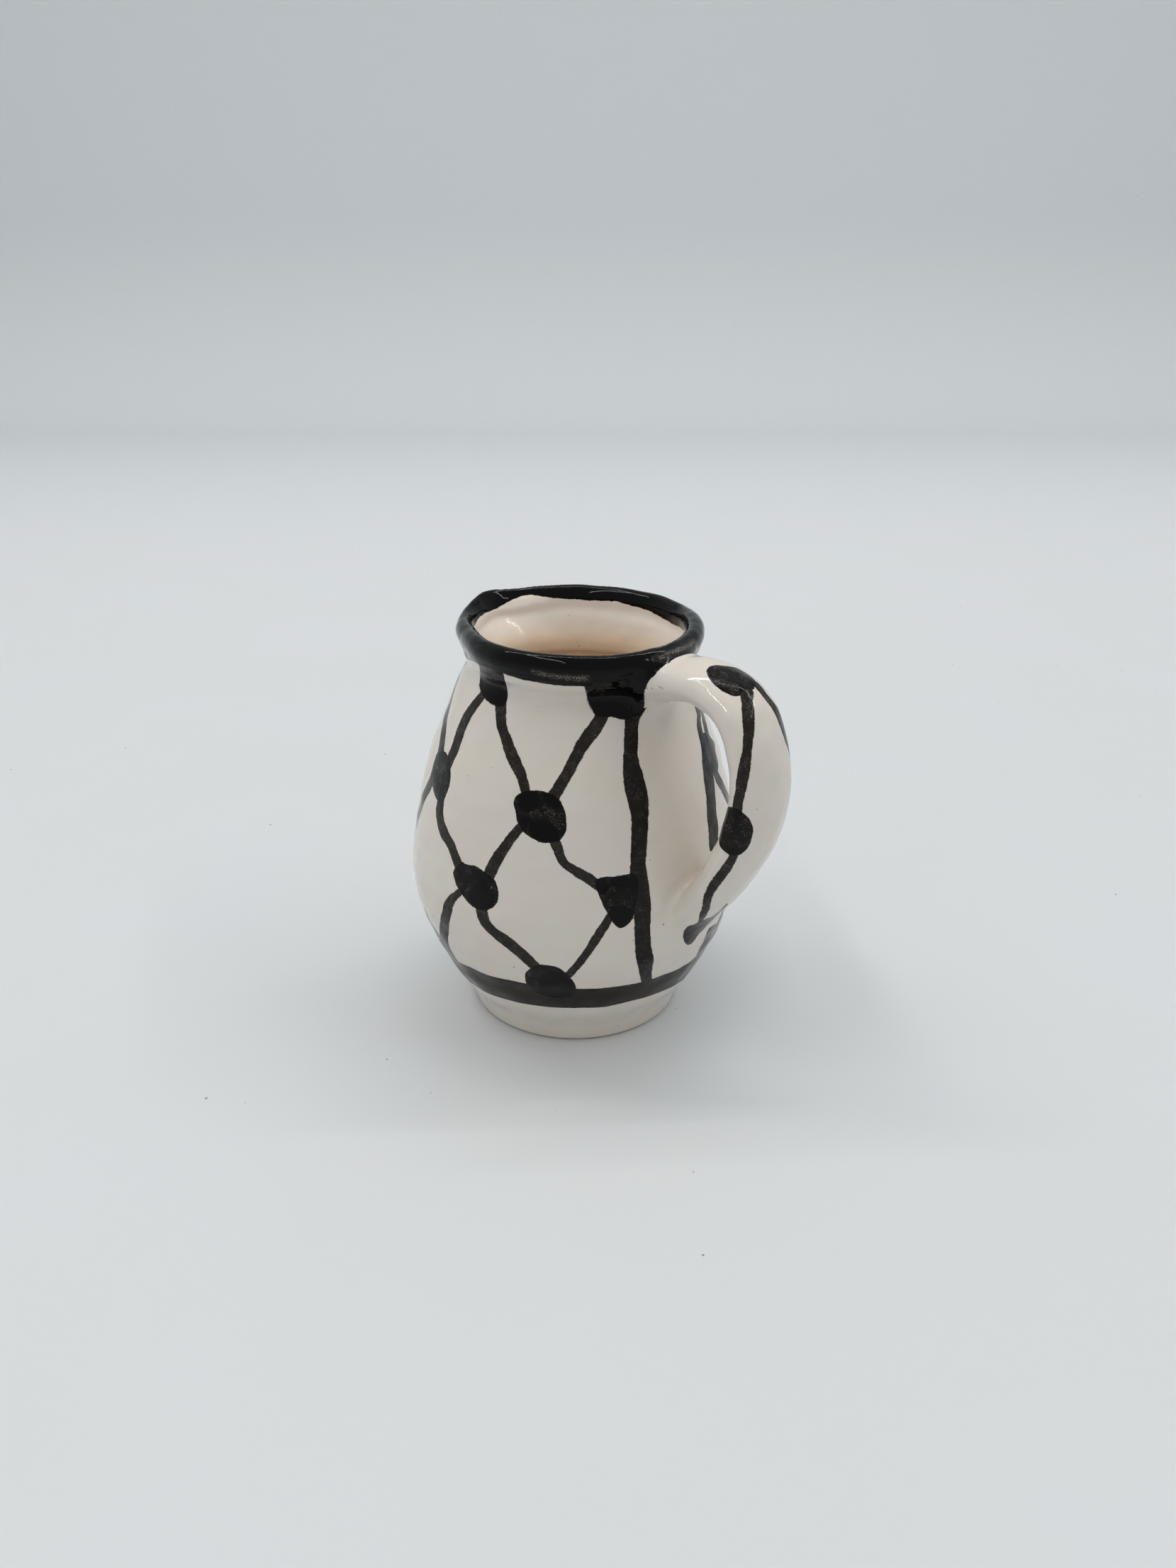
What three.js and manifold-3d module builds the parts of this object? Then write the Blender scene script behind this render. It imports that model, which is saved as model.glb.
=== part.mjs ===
// Milk jug: a small thrown pottery jug with a rolled lip, a pinched spout and a pulled strap handle.
// Lengths are in millimetres. +Z is up, the handle points along +X and the spout along -X.
// The origin is on the table, under the middle of the jug's bounding box.
// Everything is drawn about the jug's own axis first, and the group then moves it to the origin.

import * as THREE from "three";
import { mergeVertices } from "three/addons/utils/BufferGeometryUtils.js";
import Module from "manifold-3d";

const wasm = await Module();
wasm.setup();

// Joints: the room between two clay pieces that are pressed together
const jointGap = 0.3;

// Foot ring
const footHeight = 5;
const footRadius = 26.4; // outer edge of the flat face that stands on the table
const footLandWidth = 3.8; // width of that flat face
const footEdgeRound = 1.5; // rounded corner between the flat face and the ring's side
const footTopRadius = 29.1; // where the ring's side meets the wall
const footInnerLean = 1; // how far the ring's inner side leans in towards its top

// Body
const bellyRadius = 42.7;
const bellyHeight = 42.5;
const neckRadius = 27.6;
const neckDrop = 11; // from the lip's top down to the neck's narrowest place
const wallThickness = 4;
const floorThickness = 5;
const floorCorner = 11; // inside curve between the floor and the wall

// Rolled lip: its width, its height above its seat, and the part of its round that the seat flattens
const jugHeight = 105;
const rollRadius = 29.6;
const rollWidth = 4.7;
const rollHeight = 5.5;
const rollFlat = 0.5;

// Spout: how far its tip is pulled out and lifted, and how far down the wall the pull is felt
const spoutReach = 3;
const spoutLift = 0.8;
const spoutDepth = 14;

// Handle: the stand-off is from the belly's widest place out to the handle's outermost point
const handleStandOff = 22;
const handleWidth = 19.4;
const handleThickness = 9.8;
const handleCrownDrop = 6.4; // from the lip's top down to the centre line's highest point
const handleFootHeight = 36.8; // centre line's height where it enters the wall

// Luting: soft clay worked in round the handle's two ends. Reach is the distance from the wall to the
// clay's thin edge, and spread is the extra thickness at the wall, beside and on the handle's outer side.
const lutingEdge = 0.5; // thickness of the thin edge
const upperLutingReach = 7.2;
const upperLutingSpread = 2.6;
const upperLutingOuterSpread = 0.1;
const lowerLutingReach = 5;
const lowerLutingSpread = 3;
const lowerLutingOuterSpread = 0.2;
const upperLutingShare = 0.25; // share of the handle's length that the clay may cover at its upper end
const lowerLutingShare = 0.72; // share of the handle's length above the lower clay

// Outline of the wall: shares of the way up and of the way out, foot to belly and belly to neck
const lowerWallShares = [
  [0, 0],
  [0.06, 0.1],
  [0.2, 0.35],
  [0.37, 0.58],
  [0.57, 0.81],
  [0.8, 0.97],
];
const upperWallShares = [
  [0, 0],
  [0.19, 0.09],
  [0.39, 0.225],
  [0.58, 0.41],
  [0.78, 0.7],
  [0.91, 0.88],
  [1, 1],
];

// The flare from the neck to the seat of the lip: share of the way up, share of the way out
const flareShares = [
  [0.55, 0.68],
  [1, 1],
];

// The lip as the fingers left it: share of a turn from the handle, shares of the spout's reach and lift
const lipPullShares = [
  [0, 0.6, 0],
  [0.06, 0.25, 0.3],
  [0.13, -0.05, 0.1],
  [0.2, 0.1, -0.5],
  [0.3, 0.05, 0],
  [0.4, 0.2, 0.5],
  [0.45, 0.4, 0.6],
  [0.5, 0.85, 0.6],
  [0.55, 0.2, -0.3],
  [0.6, -0.6, -1.1],
  [0.66, -1.3, -1],
  [0.7, -1.15, -0.6],
  [0.76, -0.45, -0.1],
  [0.85, 0.2, 0],
  [0.93, 0.6, -0.2],
  [1, 0.6, 0],
];

// Centre line of the handle: share of the way out from the jug, share of the way up to the crown.
// The way out starts at the neck beside the crown and at the belly's wall beside the lower end.
const handleLineShares = [
  [-0.09, 0.93],
  [0.2, 0.978],
  [0.49, 1],
  [0.785, 0.95],
  [0.945, 0.82],
  [1, 0.645],
  [0.89, 0.445],
  [0.54, 0.23],
  [-0.18, 0],
  [-0.7, -0.11],
];

// Taper of the handle: share of its length, share of its width, share of its thickness
const handleTaperShares = [
  [0, 0.9, 1],
  [0.33, 0.9, 1.02],
  [0.66, 1, 1],
  [1, 0.84, 0.9],
];

// Fineness of the meshes
const turnSteps = 64;
const wallSteps = 22;
const cornerSteps = 5;
const rollSteps = 14;
const handleSides = 24;
const handleSteps = 36;
const lutingSteps = 16;

// Sizes that follow from the ones above
const bodyBase = footHeight + jointGap;
const floorTop = bodyBase + floorThickness;
const rollBase = jugHeight - rollHeight;
const wallTop = rollBase - jointGap;
const rollHalfWidth = rollWidth / 2;
const rollHalfHeight = (rollHeight + rollFlat) / 2;
const rollStart = Math.asin(1 - rollFlat / rollHalfHeight);
const seatHalfWidth = rollHalfWidth * Math.cos(rollStart);
const neckHeight = jugHeight - neckDrop;
const handleReach = bellyRadius + handleStandOff;
const handleLineReach = handleReach - handleThickness / 2;
const handleCrownHeight = jugHeight - handleCrownDrop;

const cream = new THREE.Color(0.84, 0.78, 0.69);
const black = new THREE.Color(0.03, 0.022, 0.018);

function glaze(color, roughness) {
  return new THREE.MeshStandardMaterial({ color, roughness, metalness: 0 });
}

// A smooth reading of one column of a table whose first column rises
function readTable(table, column, ends) {
  const places = table.map((row) => row[0]);
  const values = table.map((row) => row[column]);
  const curve = new THREE.CubicInterpolant(places, values, 1);
  curve.settings = { endingStart: ends, endingEnd: ends };
  return (place) => curve.evaluate(place)[0];
}

const lipPull = readTable(lipPullShares, 1, THREE.WrapAroundEnding);
const lipLift = readTable(lipPullShares, 2, THREE.WrapAroundEnding);
const widthShare = readTable(handleTaperShares, 1, THREE.ZeroCurvatureEnding);
const thicknessShare = readTable(handleTaperShares, 2, THREE.ZeroCurvatureEnding);

// Solids: a closed geometry becomes a solid that can be joined and cut, and a solid a geometry again
function toSolid(geometry) {
  const bare = geometry.clone();
  bare.deleteAttribute("normal");
  bare.deleteAttribute("uv");
  const merged = mergeVertices(bare);
  const vertProperties = merged.getAttribute("position").array;
  const triVerts = new Uint32Array(merged.index.array);
  return new wasm.Manifold(new wasm.Mesh({ numProp: 3, vertProperties, triVerts }));
}

function toGeometry(solid) {
  const mesh = solid.getMesh();
  const geometry = new THREE.BufferGeometry();
  geometry.setAttribute("position", new THREE.BufferAttribute(mesh.vertProperties, 3));
  geometry.setIndex(new THREE.BufferAttribute(mesh.triVerts, 1));
  geometry.computeVertexNormals();
  return geometry;
}

// The main body of a cut solid, without the crumbs that the cut may leave
function largestBody(solid) {
  const bodies = solid.decompose();
  return bodies.reduce((largest, body) => (body.volume() > largest.volume() ? body : largest));
}

// Turned shapes: the profile's x is the distance from the jug's axis and its y is the height
function turn(profile) {
  const geometry = new THREE.LatheGeometry(profile, turnSteps);
  geometry.rotateX(Math.PI / 2);
  return geometry;
}

// Shapes the top of a turned geometry as the fingers do: out and up at the spout, in beside it
function pinch(geometry) {
  const position = geometry.getAttribute("position");
  const point = new THREE.Vector3();
  for (let i = 0; i < position.count; i++) {
    point.fromBufferAttribute(position, i);
    const radius = Math.hypot(point.x, point.y);
    if (radius > 0) {
      const turned = Math.atan2(point.y, point.x) / (2 * Math.PI);
      const place = turned < 0 ? turned + 1 : turned;
      const felt = THREE.MathUtils.smoothstep(point.z, jugHeight - spoutDepth, wallTop);
      const stretch = 1 + (spoutReach * lipPull(place) * felt) / radius;
      const lift = spoutLift * lipLift(place) * felt;
      position.setXYZ(i, point.x * stretch, point.y * stretch, point.z + lift);
    }
  }
  return geometry;
}

// A closed geometry through a row of rings that all have the same number of points
function loft(rings) {
  const sides = rings[0].length;
  const points = rings.flat();
  const triangles = [];
  for (let ring = 0; ring < rings.length - 1; ring++) {
    for (let side = 0; side < sides; side++) {
      const a = ring * sides + side;
      const b = ring * sides + ((side + 1) % sides);
      triangles.push(a, a + sides, b, b, a + sides, b + sides);
    }
  }
  const first = 0;
  const last = points.length - sides;
  for (let side = 1; side < sides - 1; side++) {
    triangles.push(first, first + side, first + side + 1);
    triangles.push(last, last + side + 1, last + side);
  }
  const geometry = new THREE.BufferGeometry().setFromPoints(points);
  geometry.setIndex(triangles);
  return geometry;
}

// Wall: the outer outline as a smooth curve, from the foot ring to the seat of the lip
function wallOutline() {
  const lerp = THREE.MathUtils.lerp;
  const lower = lowerWallShares.map(([up, out]) => {
    return new THREE.Vector3(lerp(footTopRadius, bellyRadius, out), lerp(bodyBase, bellyHeight, up), 0);
  });
  const upper = upperWallShares.map(([up, out]) => {
    return new THREE.Vector3(lerp(bellyRadius, neckRadius, out), lerp(bellyHeight, neckHeight, up), 0);
  });
  const seatEdge = rollRadius + seatHalfWidth;
  const flare = flareShares.map(([up, out]) => {
    return new THREE.Vector3(lerp(neckRadius, seatEdge, out), lerp(neckHeight, wallTop, up), 0);
  });
  return new THREE.CatmullRomCurve3([...lower, ...upper, ...flare]);
}

// Points beside the outline, at a distance that is positive outside the wall
function besideOutline(outline, distance, steps) {
  const points = [];
  for (let i = 0; i <= steps; i++) {
    const point = outline.getPointAt(i / steps);
    const along = outline.getTangentAt(i / steps);
    points.push(new THREE.Vector2(point.x + along.y * distance, point.y - along.x * distance));
  }
  return points;
}

const outline = wallOutline();

// The wall's radius at a height, read from points beside the outline
const wallPoints = besideOutline(outline, 0, wallSteps);

function wallRadius(height) {
  const above = wallPoints.findIndex((point) => point.y >= height);
  if (above <= 0) {
    return above < 0 ? wallPoints[wallSteps].x : wallPoints[0].x;
  }
  const high = wallPoints[above];
  const low = wallPoints[above - 1];
  return THREE.MathUtils.mapLinear(height, low.y, high.y, low.x, high.x);
}

// The wall's inside: beside the outline up to the neck, then flaring to the seat of the lip
function wallInside() {
  const cornerTop = floorTop + floorCorner;
  const flareStart = neckHeight - wallThickness;
  const beside = besideOutline(outline, -wallThickness, wallSteps).filter((point) => {
    return point.y > cornerTop && point.y < flareStart;
  });
  const seat = new THREE.Vector2(rollRadius - seatHalfWidth, wallTop);
  const inside = new THREE.SplineCurve([...beside, seat]).getPoints(wallSteps);
  const wallFoot = inside[0];
  const corner = new THREE.QuadraticBezierCurve(
    new THREE.Vector2(Math.max(wallFoot.x - 2 * floorCorner, 0), floorTop),
    new THREE.Vector2(wallFoot.x - floorCorner / 2, floorTop),
    wallFoot,
  );
  return [...corner.getPoints(cornerSteps).slice(0, -1), ...inside];
}

function bodyGeometry() {
  const outside = besideOutline(outline, 0, wallSteps);
  const inside = wallInside().reverse();
  const base = new THREE.Vector2(0, bodyBase);
  const floor = new THREE.Vector2(0, floorTop);
  return pinch(turn([base, ...outside, ...inside, floor]));
}

function footRingGeometry() {
  const innerRadius = footRadius - footLandWidth;
  const profile = [new THREE.Vector2(innerRadius, 0)];
  for (let i = 0; i <= cornerSteps; i++) {
    const angle = (i / cornerSteps) * (Math.PI / 2);
    const out = footEdgeRound * Math.sin(angle);
    const up = footEdgeRound * (1 - Math.cos(angle));
    profile.push(new THREE.Vector2(footRadius + out, up));
  }
  profile.push(new THREE.Vector2(footTopRadius, footHeight));
  profile.push(new THREE.Vector2(innerRadius - footInnerLean, footHeight));
  profile.push(profile[0].clone());
  return turn(profile);
}

// The lip's round grown by a clearance, between two angles counted up from its outermost point
function rollArc(growth, from, to, steps) {
  const points = [];
  for (let i = 0; i <= steps; i++) {
    const angle = THREE.MathUtils.lerp(from, to, i / steps);
    const out = (rollHalfWidth + growth) * Math.cos(angle);
    const up = (rollHalfHeight + growth) * Math.sin(angle);
    points.push(new THREE.Vector2(rollRadius + out, jugHeight - rollHalfHeight + up));
  }
  return points;
}

function rimRollGeometry() {
  const section = rollArc(0, -rollStart, Math.PI + rollStart, rollSteps);
  return pinch(turn([...section, section[0].clone()]));
}

// The space of the jug without its handle, filled in and grown all round by a clearance
function filledWall(growth) {
  const outside = besideOutline(outline, growth, wallSteps);
  const base = new THREE.Vector2(0, outside[0].y);
  const top = outside[wallSteps];
  const shoulder = new THREE.Vector2(top.x, wallTop + growth);
  return toSolid(pinch(turn([base, ...outside, shoulder, new THREE.Vector2(0, shoulder.y)])));
}

// The same for the lip, with the space that stays open above it
function filledRoll(growth) {
  const below = rollArc(growth, -rollStart, 0, cornerSteps);
  const base = new THREE.Vector2(0, below[0].y);
  const shoulder = new THREE.Vector2(below[cornerSteps].x, jugHeight + handleThickness);
  return toSolid(pinch(turn([base, ...below, shoulder, new THREE.Vector2(0, shoulder.y)])));
}

const jugSpace = filledWall(jointGap).add(filledRoll(jointGap));

// Handle: its centre line lies in the plane through the jug's axis and the spout
const handleLine = new THREE.CatmullRomCurve3(
  handleLineShares.map(([out, up]) => {
    const beside = THREE.MathUtils.lerp(wallRadius(handleFootHeight), neckRadius, up);
    const x = THREE.MathUtils.lerp(beside, handleLineReach, out);
    const z = THREE.MathUtils.lerp(handleFootHeight, handleCrownHeight, up);
    return new THREE.Vector3(x, 0, z);
  }),
);

// One oval ring of the handle's skin, with each point pushed out by what swell says for it
function handleRing(along, swell) {
  const centre = handleLine.getPointAt(along);
  const tangent = handleLine.getTangentAt(along);
  const outward = new THREE.Vector3(-tangent.z, 0, tangent.x);
  const halfWidth = (handleWidth / 2) * widthShare(along);
  const halfThickness = (handleThickness / 2) * thicknessShare(along);
  const ring = [];
  for (let side = 0; side < handleSides; side++) {
    const angle = (side / handleSides) * 2 * Math.PI;
    const across = Math.sin(angle);
    const out = Math.cos(angle);
    const point = centre.clone().addScaledVector(outward, halfThickness * out);
    point.y += halfWidth * across;
    const extra = swell(point, out);
    point.addScaledVector(outward, extra * out);
    point.y += extra * across;
    ring.push(point);
  }
  return ring;
}

function handleSolid(from, to, steps, swell) {
  const rings = [];
  for (let i = 0; i <= steps; i++) {
    rings.push(handleRing(THREE.MathUtils.lerp(from, to, i / steps), swell));
  }
  return toSolid(loft(rings));
}

function handleGeometry() {
  const strap = handleSolid(0, 1, handleSteps, () => 0);
  return toGeometry(largestBody(strap.subtract(jugSpace)));
}

// The space up to a distance straight out from the wall
function besideWall(distance) {
  const outside = wallPoints.map((point) => new THREE.Vector2(point.x + distance, point.y));
  const base = new THREE.Vector2(0, bodyBase);
  const shoulder = new THREE.Vector2(outside[wallSteps].x, jugHeight + handleThickness);
  return toSolid(pinch(turn([base, ...outside, shoulder, new THREE.Vector2(0, shoulder.y)])));
}

// A fillet round the handle: thick at the wall, thinning with the square of the way to its edge
function lutingGeometry(from, to, reach, spread, outerSpread) {
  const fillet = handleSolid(from, to, lutingSteps, (point, out) => {
    const distance = Math.hypot(point.x, point.y) - wallRadius(point.z);
    const left = THREE.MathUtils.clamp(1 - distance / reach, 0, 1);
    const most = THREE.MathUtils.lerp(spread, outerSpread, Math.max(out, 0));
    return jointGap + lutingEdge + most * left ** 2;
  });
  const strap = handleSolid(0, 1, handleSteps, () => jointGap);
  const ring = fillet.intersect(besideWall(reach)).subtract(strap).subtract(jugSpace);
  return toGeometry(largestBody(ring));
}

function mesh(name, geometry, material) {
  const made = new THREE.Mesh(geometry, material);
  made.name = name;
  return made;
}

const upperLuting = lutingGeometry(
  0,
  upperLutingShare,
  upperLutingReach,
  upperLutingSpread,
  upperLutingOuterSpread,
);
const lowerLuting = lutingGeometry(
  lowerLutingShare,
  1,
  lowerLutingReach,
  lowerLutingSpread,
  lowerLutingOuterSpread,
);

const group = new THREE.Group();
group.add(mesh("body", bodyGeometry(), glaze(cream, 0.2)));
group.add(mesh("foot_ring", footRingGeometry(), glaze(cream, 0.35)));
group.add(mesh("rim_roll", rimRollGeometry(), glaze(black, 0.12)));
group.add(mesh("handle", handleGeometry(), glaze(cream, 0.2)));
group.add(mesh("upper_handle_luting", upperLuting, glaze(cream, 0.2)));
group.add(mesh("lower_handle_luting", lowerLuting, glaze(cream, 0.2)));
group.position.x = (bellyRadius - handleReach) / 2;

export default group;
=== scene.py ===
import math

import bpy
import numpy as np
import openvdb
from mathutils import Matrix, Vector


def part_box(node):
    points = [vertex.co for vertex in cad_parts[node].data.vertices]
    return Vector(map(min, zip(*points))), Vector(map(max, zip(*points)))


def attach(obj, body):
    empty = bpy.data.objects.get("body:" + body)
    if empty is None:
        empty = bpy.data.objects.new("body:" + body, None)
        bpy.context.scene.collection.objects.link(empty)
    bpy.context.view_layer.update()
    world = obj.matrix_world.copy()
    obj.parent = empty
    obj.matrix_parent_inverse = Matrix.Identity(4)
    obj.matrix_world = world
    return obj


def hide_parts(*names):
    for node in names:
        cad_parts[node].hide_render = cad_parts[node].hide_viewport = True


# A small hand-painted pottery jug on a pale table.
# Sizes are in millimetres about the jug's own axis, with the handle along +X and the spout along -X.
# To the frame's metres they are moved by the foot ring's centre and divided by a thousand.

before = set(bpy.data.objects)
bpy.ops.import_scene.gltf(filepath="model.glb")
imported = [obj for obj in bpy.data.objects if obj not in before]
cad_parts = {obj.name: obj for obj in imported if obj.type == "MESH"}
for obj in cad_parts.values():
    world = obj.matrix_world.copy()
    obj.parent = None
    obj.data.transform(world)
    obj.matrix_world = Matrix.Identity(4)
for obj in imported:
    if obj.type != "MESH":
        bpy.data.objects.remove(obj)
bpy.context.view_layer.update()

LOW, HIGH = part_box("foot_ring")
AXIS_X = (LOW.x + HIGH.x) / 2
MM = 0.001

# Camera: where the photo was taken from, seen from the jug's axis
PHOTO_WIDE, PHOTO_HIGH = 1659, 2212
LENS = 28.0
SENSOR = 36.0
PITCH = 23.287
TURN = 45.7
DISTANCE = 317.5
AIM_RIGHT = 3.4
AIM_UP = 60.4

# Forms of the clay, as in the frame's own solids
FOOT_HEIGHT = 5.0
FOOT_RADIUS = 26.4
FOOT_LAND = 3.8
FOOT_ROUND = 1.5
FOOT_TOP_RADIUS = 29.1
FOOT_LEAN = 1.0
JOINT = 0.3
BELLY_RADIUS = 42.7
BELLY_HEIGHT = 42.5
NECK_RADIUS = 27.6
NECK_HEIGHT = 94.0
WALL = 4.0
FLOOR = 5.0
FLOOR_CORNER = 11.0
JUG_HEIGHT = 105.0
ROLL_RADIUS = 29.6
ROLL_WIDTH = 4.7
ROLL_HEIGHT = 6.0
SEAT_OUT = 1.3
SPOUT_REACH = 3.0
SPOUT_LIFT = 0.8
SPOUT_DEPTH = 14.0
SPOUT_PRESS = 2.2
SPOUT_AT = 0.5
SPOUT_SHARE = 0.07
HANDLE_REACH = 64.7
HANDLE_WIDTH = 19.4
HANDLE_THICK = 9.8
HANDLE_CROWN = 98.6
HANDLE_FOOT = 36.8
WALL_TOP = 99.2

# The wall's outline in shares: up, then out, from foot to belly, belly to neck and neck to lip
LOWER_WALL = [(0, 0), (0.06, 0.1), (0.2, 0.35), (0.37, 0.58), (0.57, 0.81), (0.8, 0.97)]
UPPER_WALL = [(0, 0), (0.19, 0.09), (0.39, 0.225), (0.58, 0.41), (0.78, 0.7), (0.91, 0.88), (1, 1)]
FLARE = [(0.55, 0.68), (1, 1)]
# The end of the wall's inside, under the roll: out from the roll's middle, and up from the wall's top
THROAT = [(-3.2, -2.4), (-2.3, 0.6), (-1.8, 2.6)]
# How the fingers pulled the lip: share of a turn, then shares of the spout's reach and of its lift
LIP_PULL = [
    (0, 0.6, 0), (0.06, 0.25, 0.3), (0.13, -0.05, 0.1), (0.2, 0.1, -0.5),
    (0.3, 0.05, 0), (0.4, 0.2, 0.5), (0.45, 0.4, 0.6), (0.5, 0.85, 0.6),
    (0.55, 0.2, -0.3), (0.6, -0.6, -1.1), (0.66, -1.3, -1), (0.7, -1.15, -0.6),
    (0.76, -0.45, -0.1), (0.85, 0.2, 0), (0.93, 0.6, -0.2), (1, 0.6, 0),
]
# Small rises of the lip that only the photo shows: share of a turn, millimetres
LIP_WAVE = [
    (0, 0), (0.08, 0.2), (0.14, 0.5), (0.18, 0.2), (0.24, 0.55), (0.3, 0.5), (0.36, 0.4), (0.42, 0.25),
    (0.47, 0), (0.507, 0.45), (0.53, 0), (0.56, -0.5), (0.62, -0.2), (0.7, 0), (0.85, -0.1), (1, 0),
]
# The handle's middle line in shares: out from the wall, and up from its foot to its crown
HANDLE_LINE = [
    (-0.09, 0.93), (0.2, 0.978), (0.49, 1), (0.785, 0.95), (0.945, 0.82),
    (1, 0.645), (0.89, 0.445), (0.54, 0.23), (-0.18, 0), (-0.7, -0.11),
]
# Along the handle: share of its length, then shares of its width and thickness
HANDLE_TAPER = [
    (0, 0.9, 1.0), (0.33, 0.9, 1.02), (0.66, 1, 1), (0.82, 0.98, 0.95), (0.92, 1.04, 0.82), (1, 1.1, 0.6),
]

# Spacing of the skin's points
SPACING = 0.83


# Small helpers


def smooth_line(points, steps, closed=False):
    """Points along a smooth line through the given ones, closer where the line is short."""
    p = np.asarray(points, float)
    if closed:
        p = np.vstack([p[-1], p, p[0], p[1]])
    else:
        p = np.vstack([2 * p[0] - p[1], p, 2 * p[-1] - p[-2]])
    out = []
    for i in range(1, len(p) - 2):
        parts = list(p[i - 1 : i + 3])
        at = [0.0]
        for a, b in zip(parts, parts[1:]):
            at.append(at[-1] + max(np.linalg.norm(b - a), 1e-6) ** 0.5)
        t = np.linspace(at[1], at[2], steps, endpoint=False)[:, None]
        for spans in (list(zip(at, at[1:])), list(zip(at, at[2:])), [(at[1], at[2])]):
            parts = [
                (last - t) / (last - first) * a + (t - first) / (last - first) * b
                for (first, last), a, b in zip(spans, parts, parts[1:])
            ]
        out.append(parts[0])
    out = np.vstack(out)
    return out if closed else np.vstack([out, p[-2]])


def evenly(line, spacing):
    """The same line with its points a set distance apart."""
    gone = np.r_[0, np.cumsum(np.linalg.norm(np.diff(line, axis=0), axis=1))]
    count = max(int(gone[-1] / spacing), 2)
    places = np.linspace(0, gone[-1], count + 1)
    return np.column_stack([np.interp(places, gone, line[:, k]) for k in range(line.shape[1])])


def read_table(table, column, around=False):
    """A smooth reading of one column of a table whose first column rises."""
    place = np.array([row[0] for row in table], float)
    value = np.array([row[column] for row in table], float)
    slope = np.gradient(value, place)
    if around:
        step = (value[1] - value[-2]) / (place[1] - place[0] + place[-1] - place[-2])
        slope[0] = slope[-1] = step

    def reading(t):
        t = np.asarray(t, float)
        i = np.clip(np.searchsorted(place, t, side="right") - 1, 0, len(place) - 2)
        h = place[i + 1] - place[i]
        s = np.clip((t - place[i]) / h, 0, 1)
        first = (1 + 2 * s) * (1 - s) ** 2 * value[i] + s * (1 - s) ** 2 * h * slope[i]
        return first + s**2 * (3 - 2 * s) * value[i + 1] + s**2 * (s - 1) * h * slope[i + 1]

    return reading


def smoothstep(x, low, high):
    """Rises softly from nothing at low to one at high."""
    s = np.clip((x - low) / (high - low), 0, 1)
    return s * s * (3 - 2 * s)


def blend_near(a, b, reach):
    """Joins two distances with a fillet of about the given reach."""
    h = np.clip(0.5 + 0.5 * (b - a) / reach, 0, 1)
    return b + (a - b) * h - reach * h * (1 - h)


def oval_distance(x, y, half_x, half_y):
    """Nearly the signed distance to an oval with the given halves, negative inside."""
    u, v = x / half_x, y / half_y
    k0 = np.hypot(u, v)
    k1 = np.hypot(u / half_x, v / half_y) + 1e-9
    return k0 * (k0 - 1) / k1


def outline_distance(points, outline):
    """Signed distance from flat points to a closed outline, negative inside."""
    px, py = points[:, 0], points[:, 1]
    best = np.full(len(points), np.inf)
    inside = np.zeros(len(points), bool)
    for a, b in zip(outline, np.roll(outline, -1, axis=0)):
        ex, ey = b - a
        long = ex * ex + ey * ey
        if long == 0:
            continue
        t = np.clip(((px - a[0]) * ex + (py - a[1]) * ey) / long, 0, 1)
        best = np.minimum(best, (px - a[0] - t * ex) ** 2 + (py - a[1] - t * ey) ** 2)
        crosses = (a[1] > py) != (b[1] > py)
        if a[1] != b[1]:
            inside ^= crosses & (px < ex * (py - a[1]) / ey + a[0])
    return np.where(inside, -1, 1) * np.sqrt(best)


def mix(a, b, share):
    return a + (b - a) * share


def read_grid(grid, i, j, s, t):
    """A flat map's value between its cells i, j and the next ones, by the shares s and t of a cell."""
    low = grid[i, j] * (1 - t) + grid[i, j + 1] * t
    return low * (1 - s) + (grid[i + 1, j] * (1 - t) + grid[i + 1, j + 1] * t) * s


# Form: the jug without its handle is a turned outline, pushed in and out at the top by the fingers

OUTLINE_STEP = 0.6


def wall_outline():
    """The wall's outside from the foot's top to the lip, as radius and height."""
    foot, belly = (FOOT_TOP_RADIUS, FOOT_HEIGHT + JOINT), (BELLY_RADIUS, BELLY_HEIGHT)
    neck, seat = (NECK_RADIUS, NECK_HEIGHT), (ROLL_RADIUS + SEAT_OUT, WALL_TOP)
    points = []
    for a, b, shares in ((foot, belly, LOWER_WALL), (belly, neck, UPPER_WALL), (neck, seat, FLARE)):
        points += [(mix(a[0], b[0], out), mix(a[1], b[1], up)) for up, out in shares]
    return evenly(smooth_line(points, 16), OUTLINE_STEP)


OUTSIDE = wall_outline()


def wall_radius(height):
    return np.interp(height, OUTSIDE[:, 1], OUTSIDE[:, 0])


def wall_inside():
    """The wall's inside from the middle of the floor to the lip."""
    along = np.gradient(OUTSIDE, axis=0)
    along /= np.linalg.norm(along, axis=1)[:, None]
    beside = OUTSIDE + np.column_stack([-along[:, 1], along[:, 0]]) * WALL
    floor_top = FOOT_HEIGHT + JOINT + FLOOR
    low, high = floor_top + FLOOR_CORNER, NECK_HEIGHT - WALL
    beside = beside[(beside[:, 1] > low) & (beside[:, 1] < high)][::4]
    throat = [(ROLL_RADIUS + out, WALL_TOP + up) for out, up in THROAT]
    upper = smooth_line(np.vstack([beside, throat]), 6)
    foot = upper[0]
    start = np.array([max(foot[0] - 2 * FLOOR_CORNER, 0), floor_top])
    bend = np.array([foot[0] - FLOOR_CORNER / 2, floor_top])
    t = np.linspace(0, 1, 14)[:-1, None]
    corner = (1 - t) ** 2 * start + 2 * t * (1 - t) * bend + t**2 * foot
    return np.vstack([corner, upper])


INSIDE = wall_inside()
# The flat map of radius and height that holds the turned outline's distances
FLAT_STEP = 0.2
FLAT_WIDE = 56.0
FLAT_HIGH = 112.0
FLAT_LOW = -4.0
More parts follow.
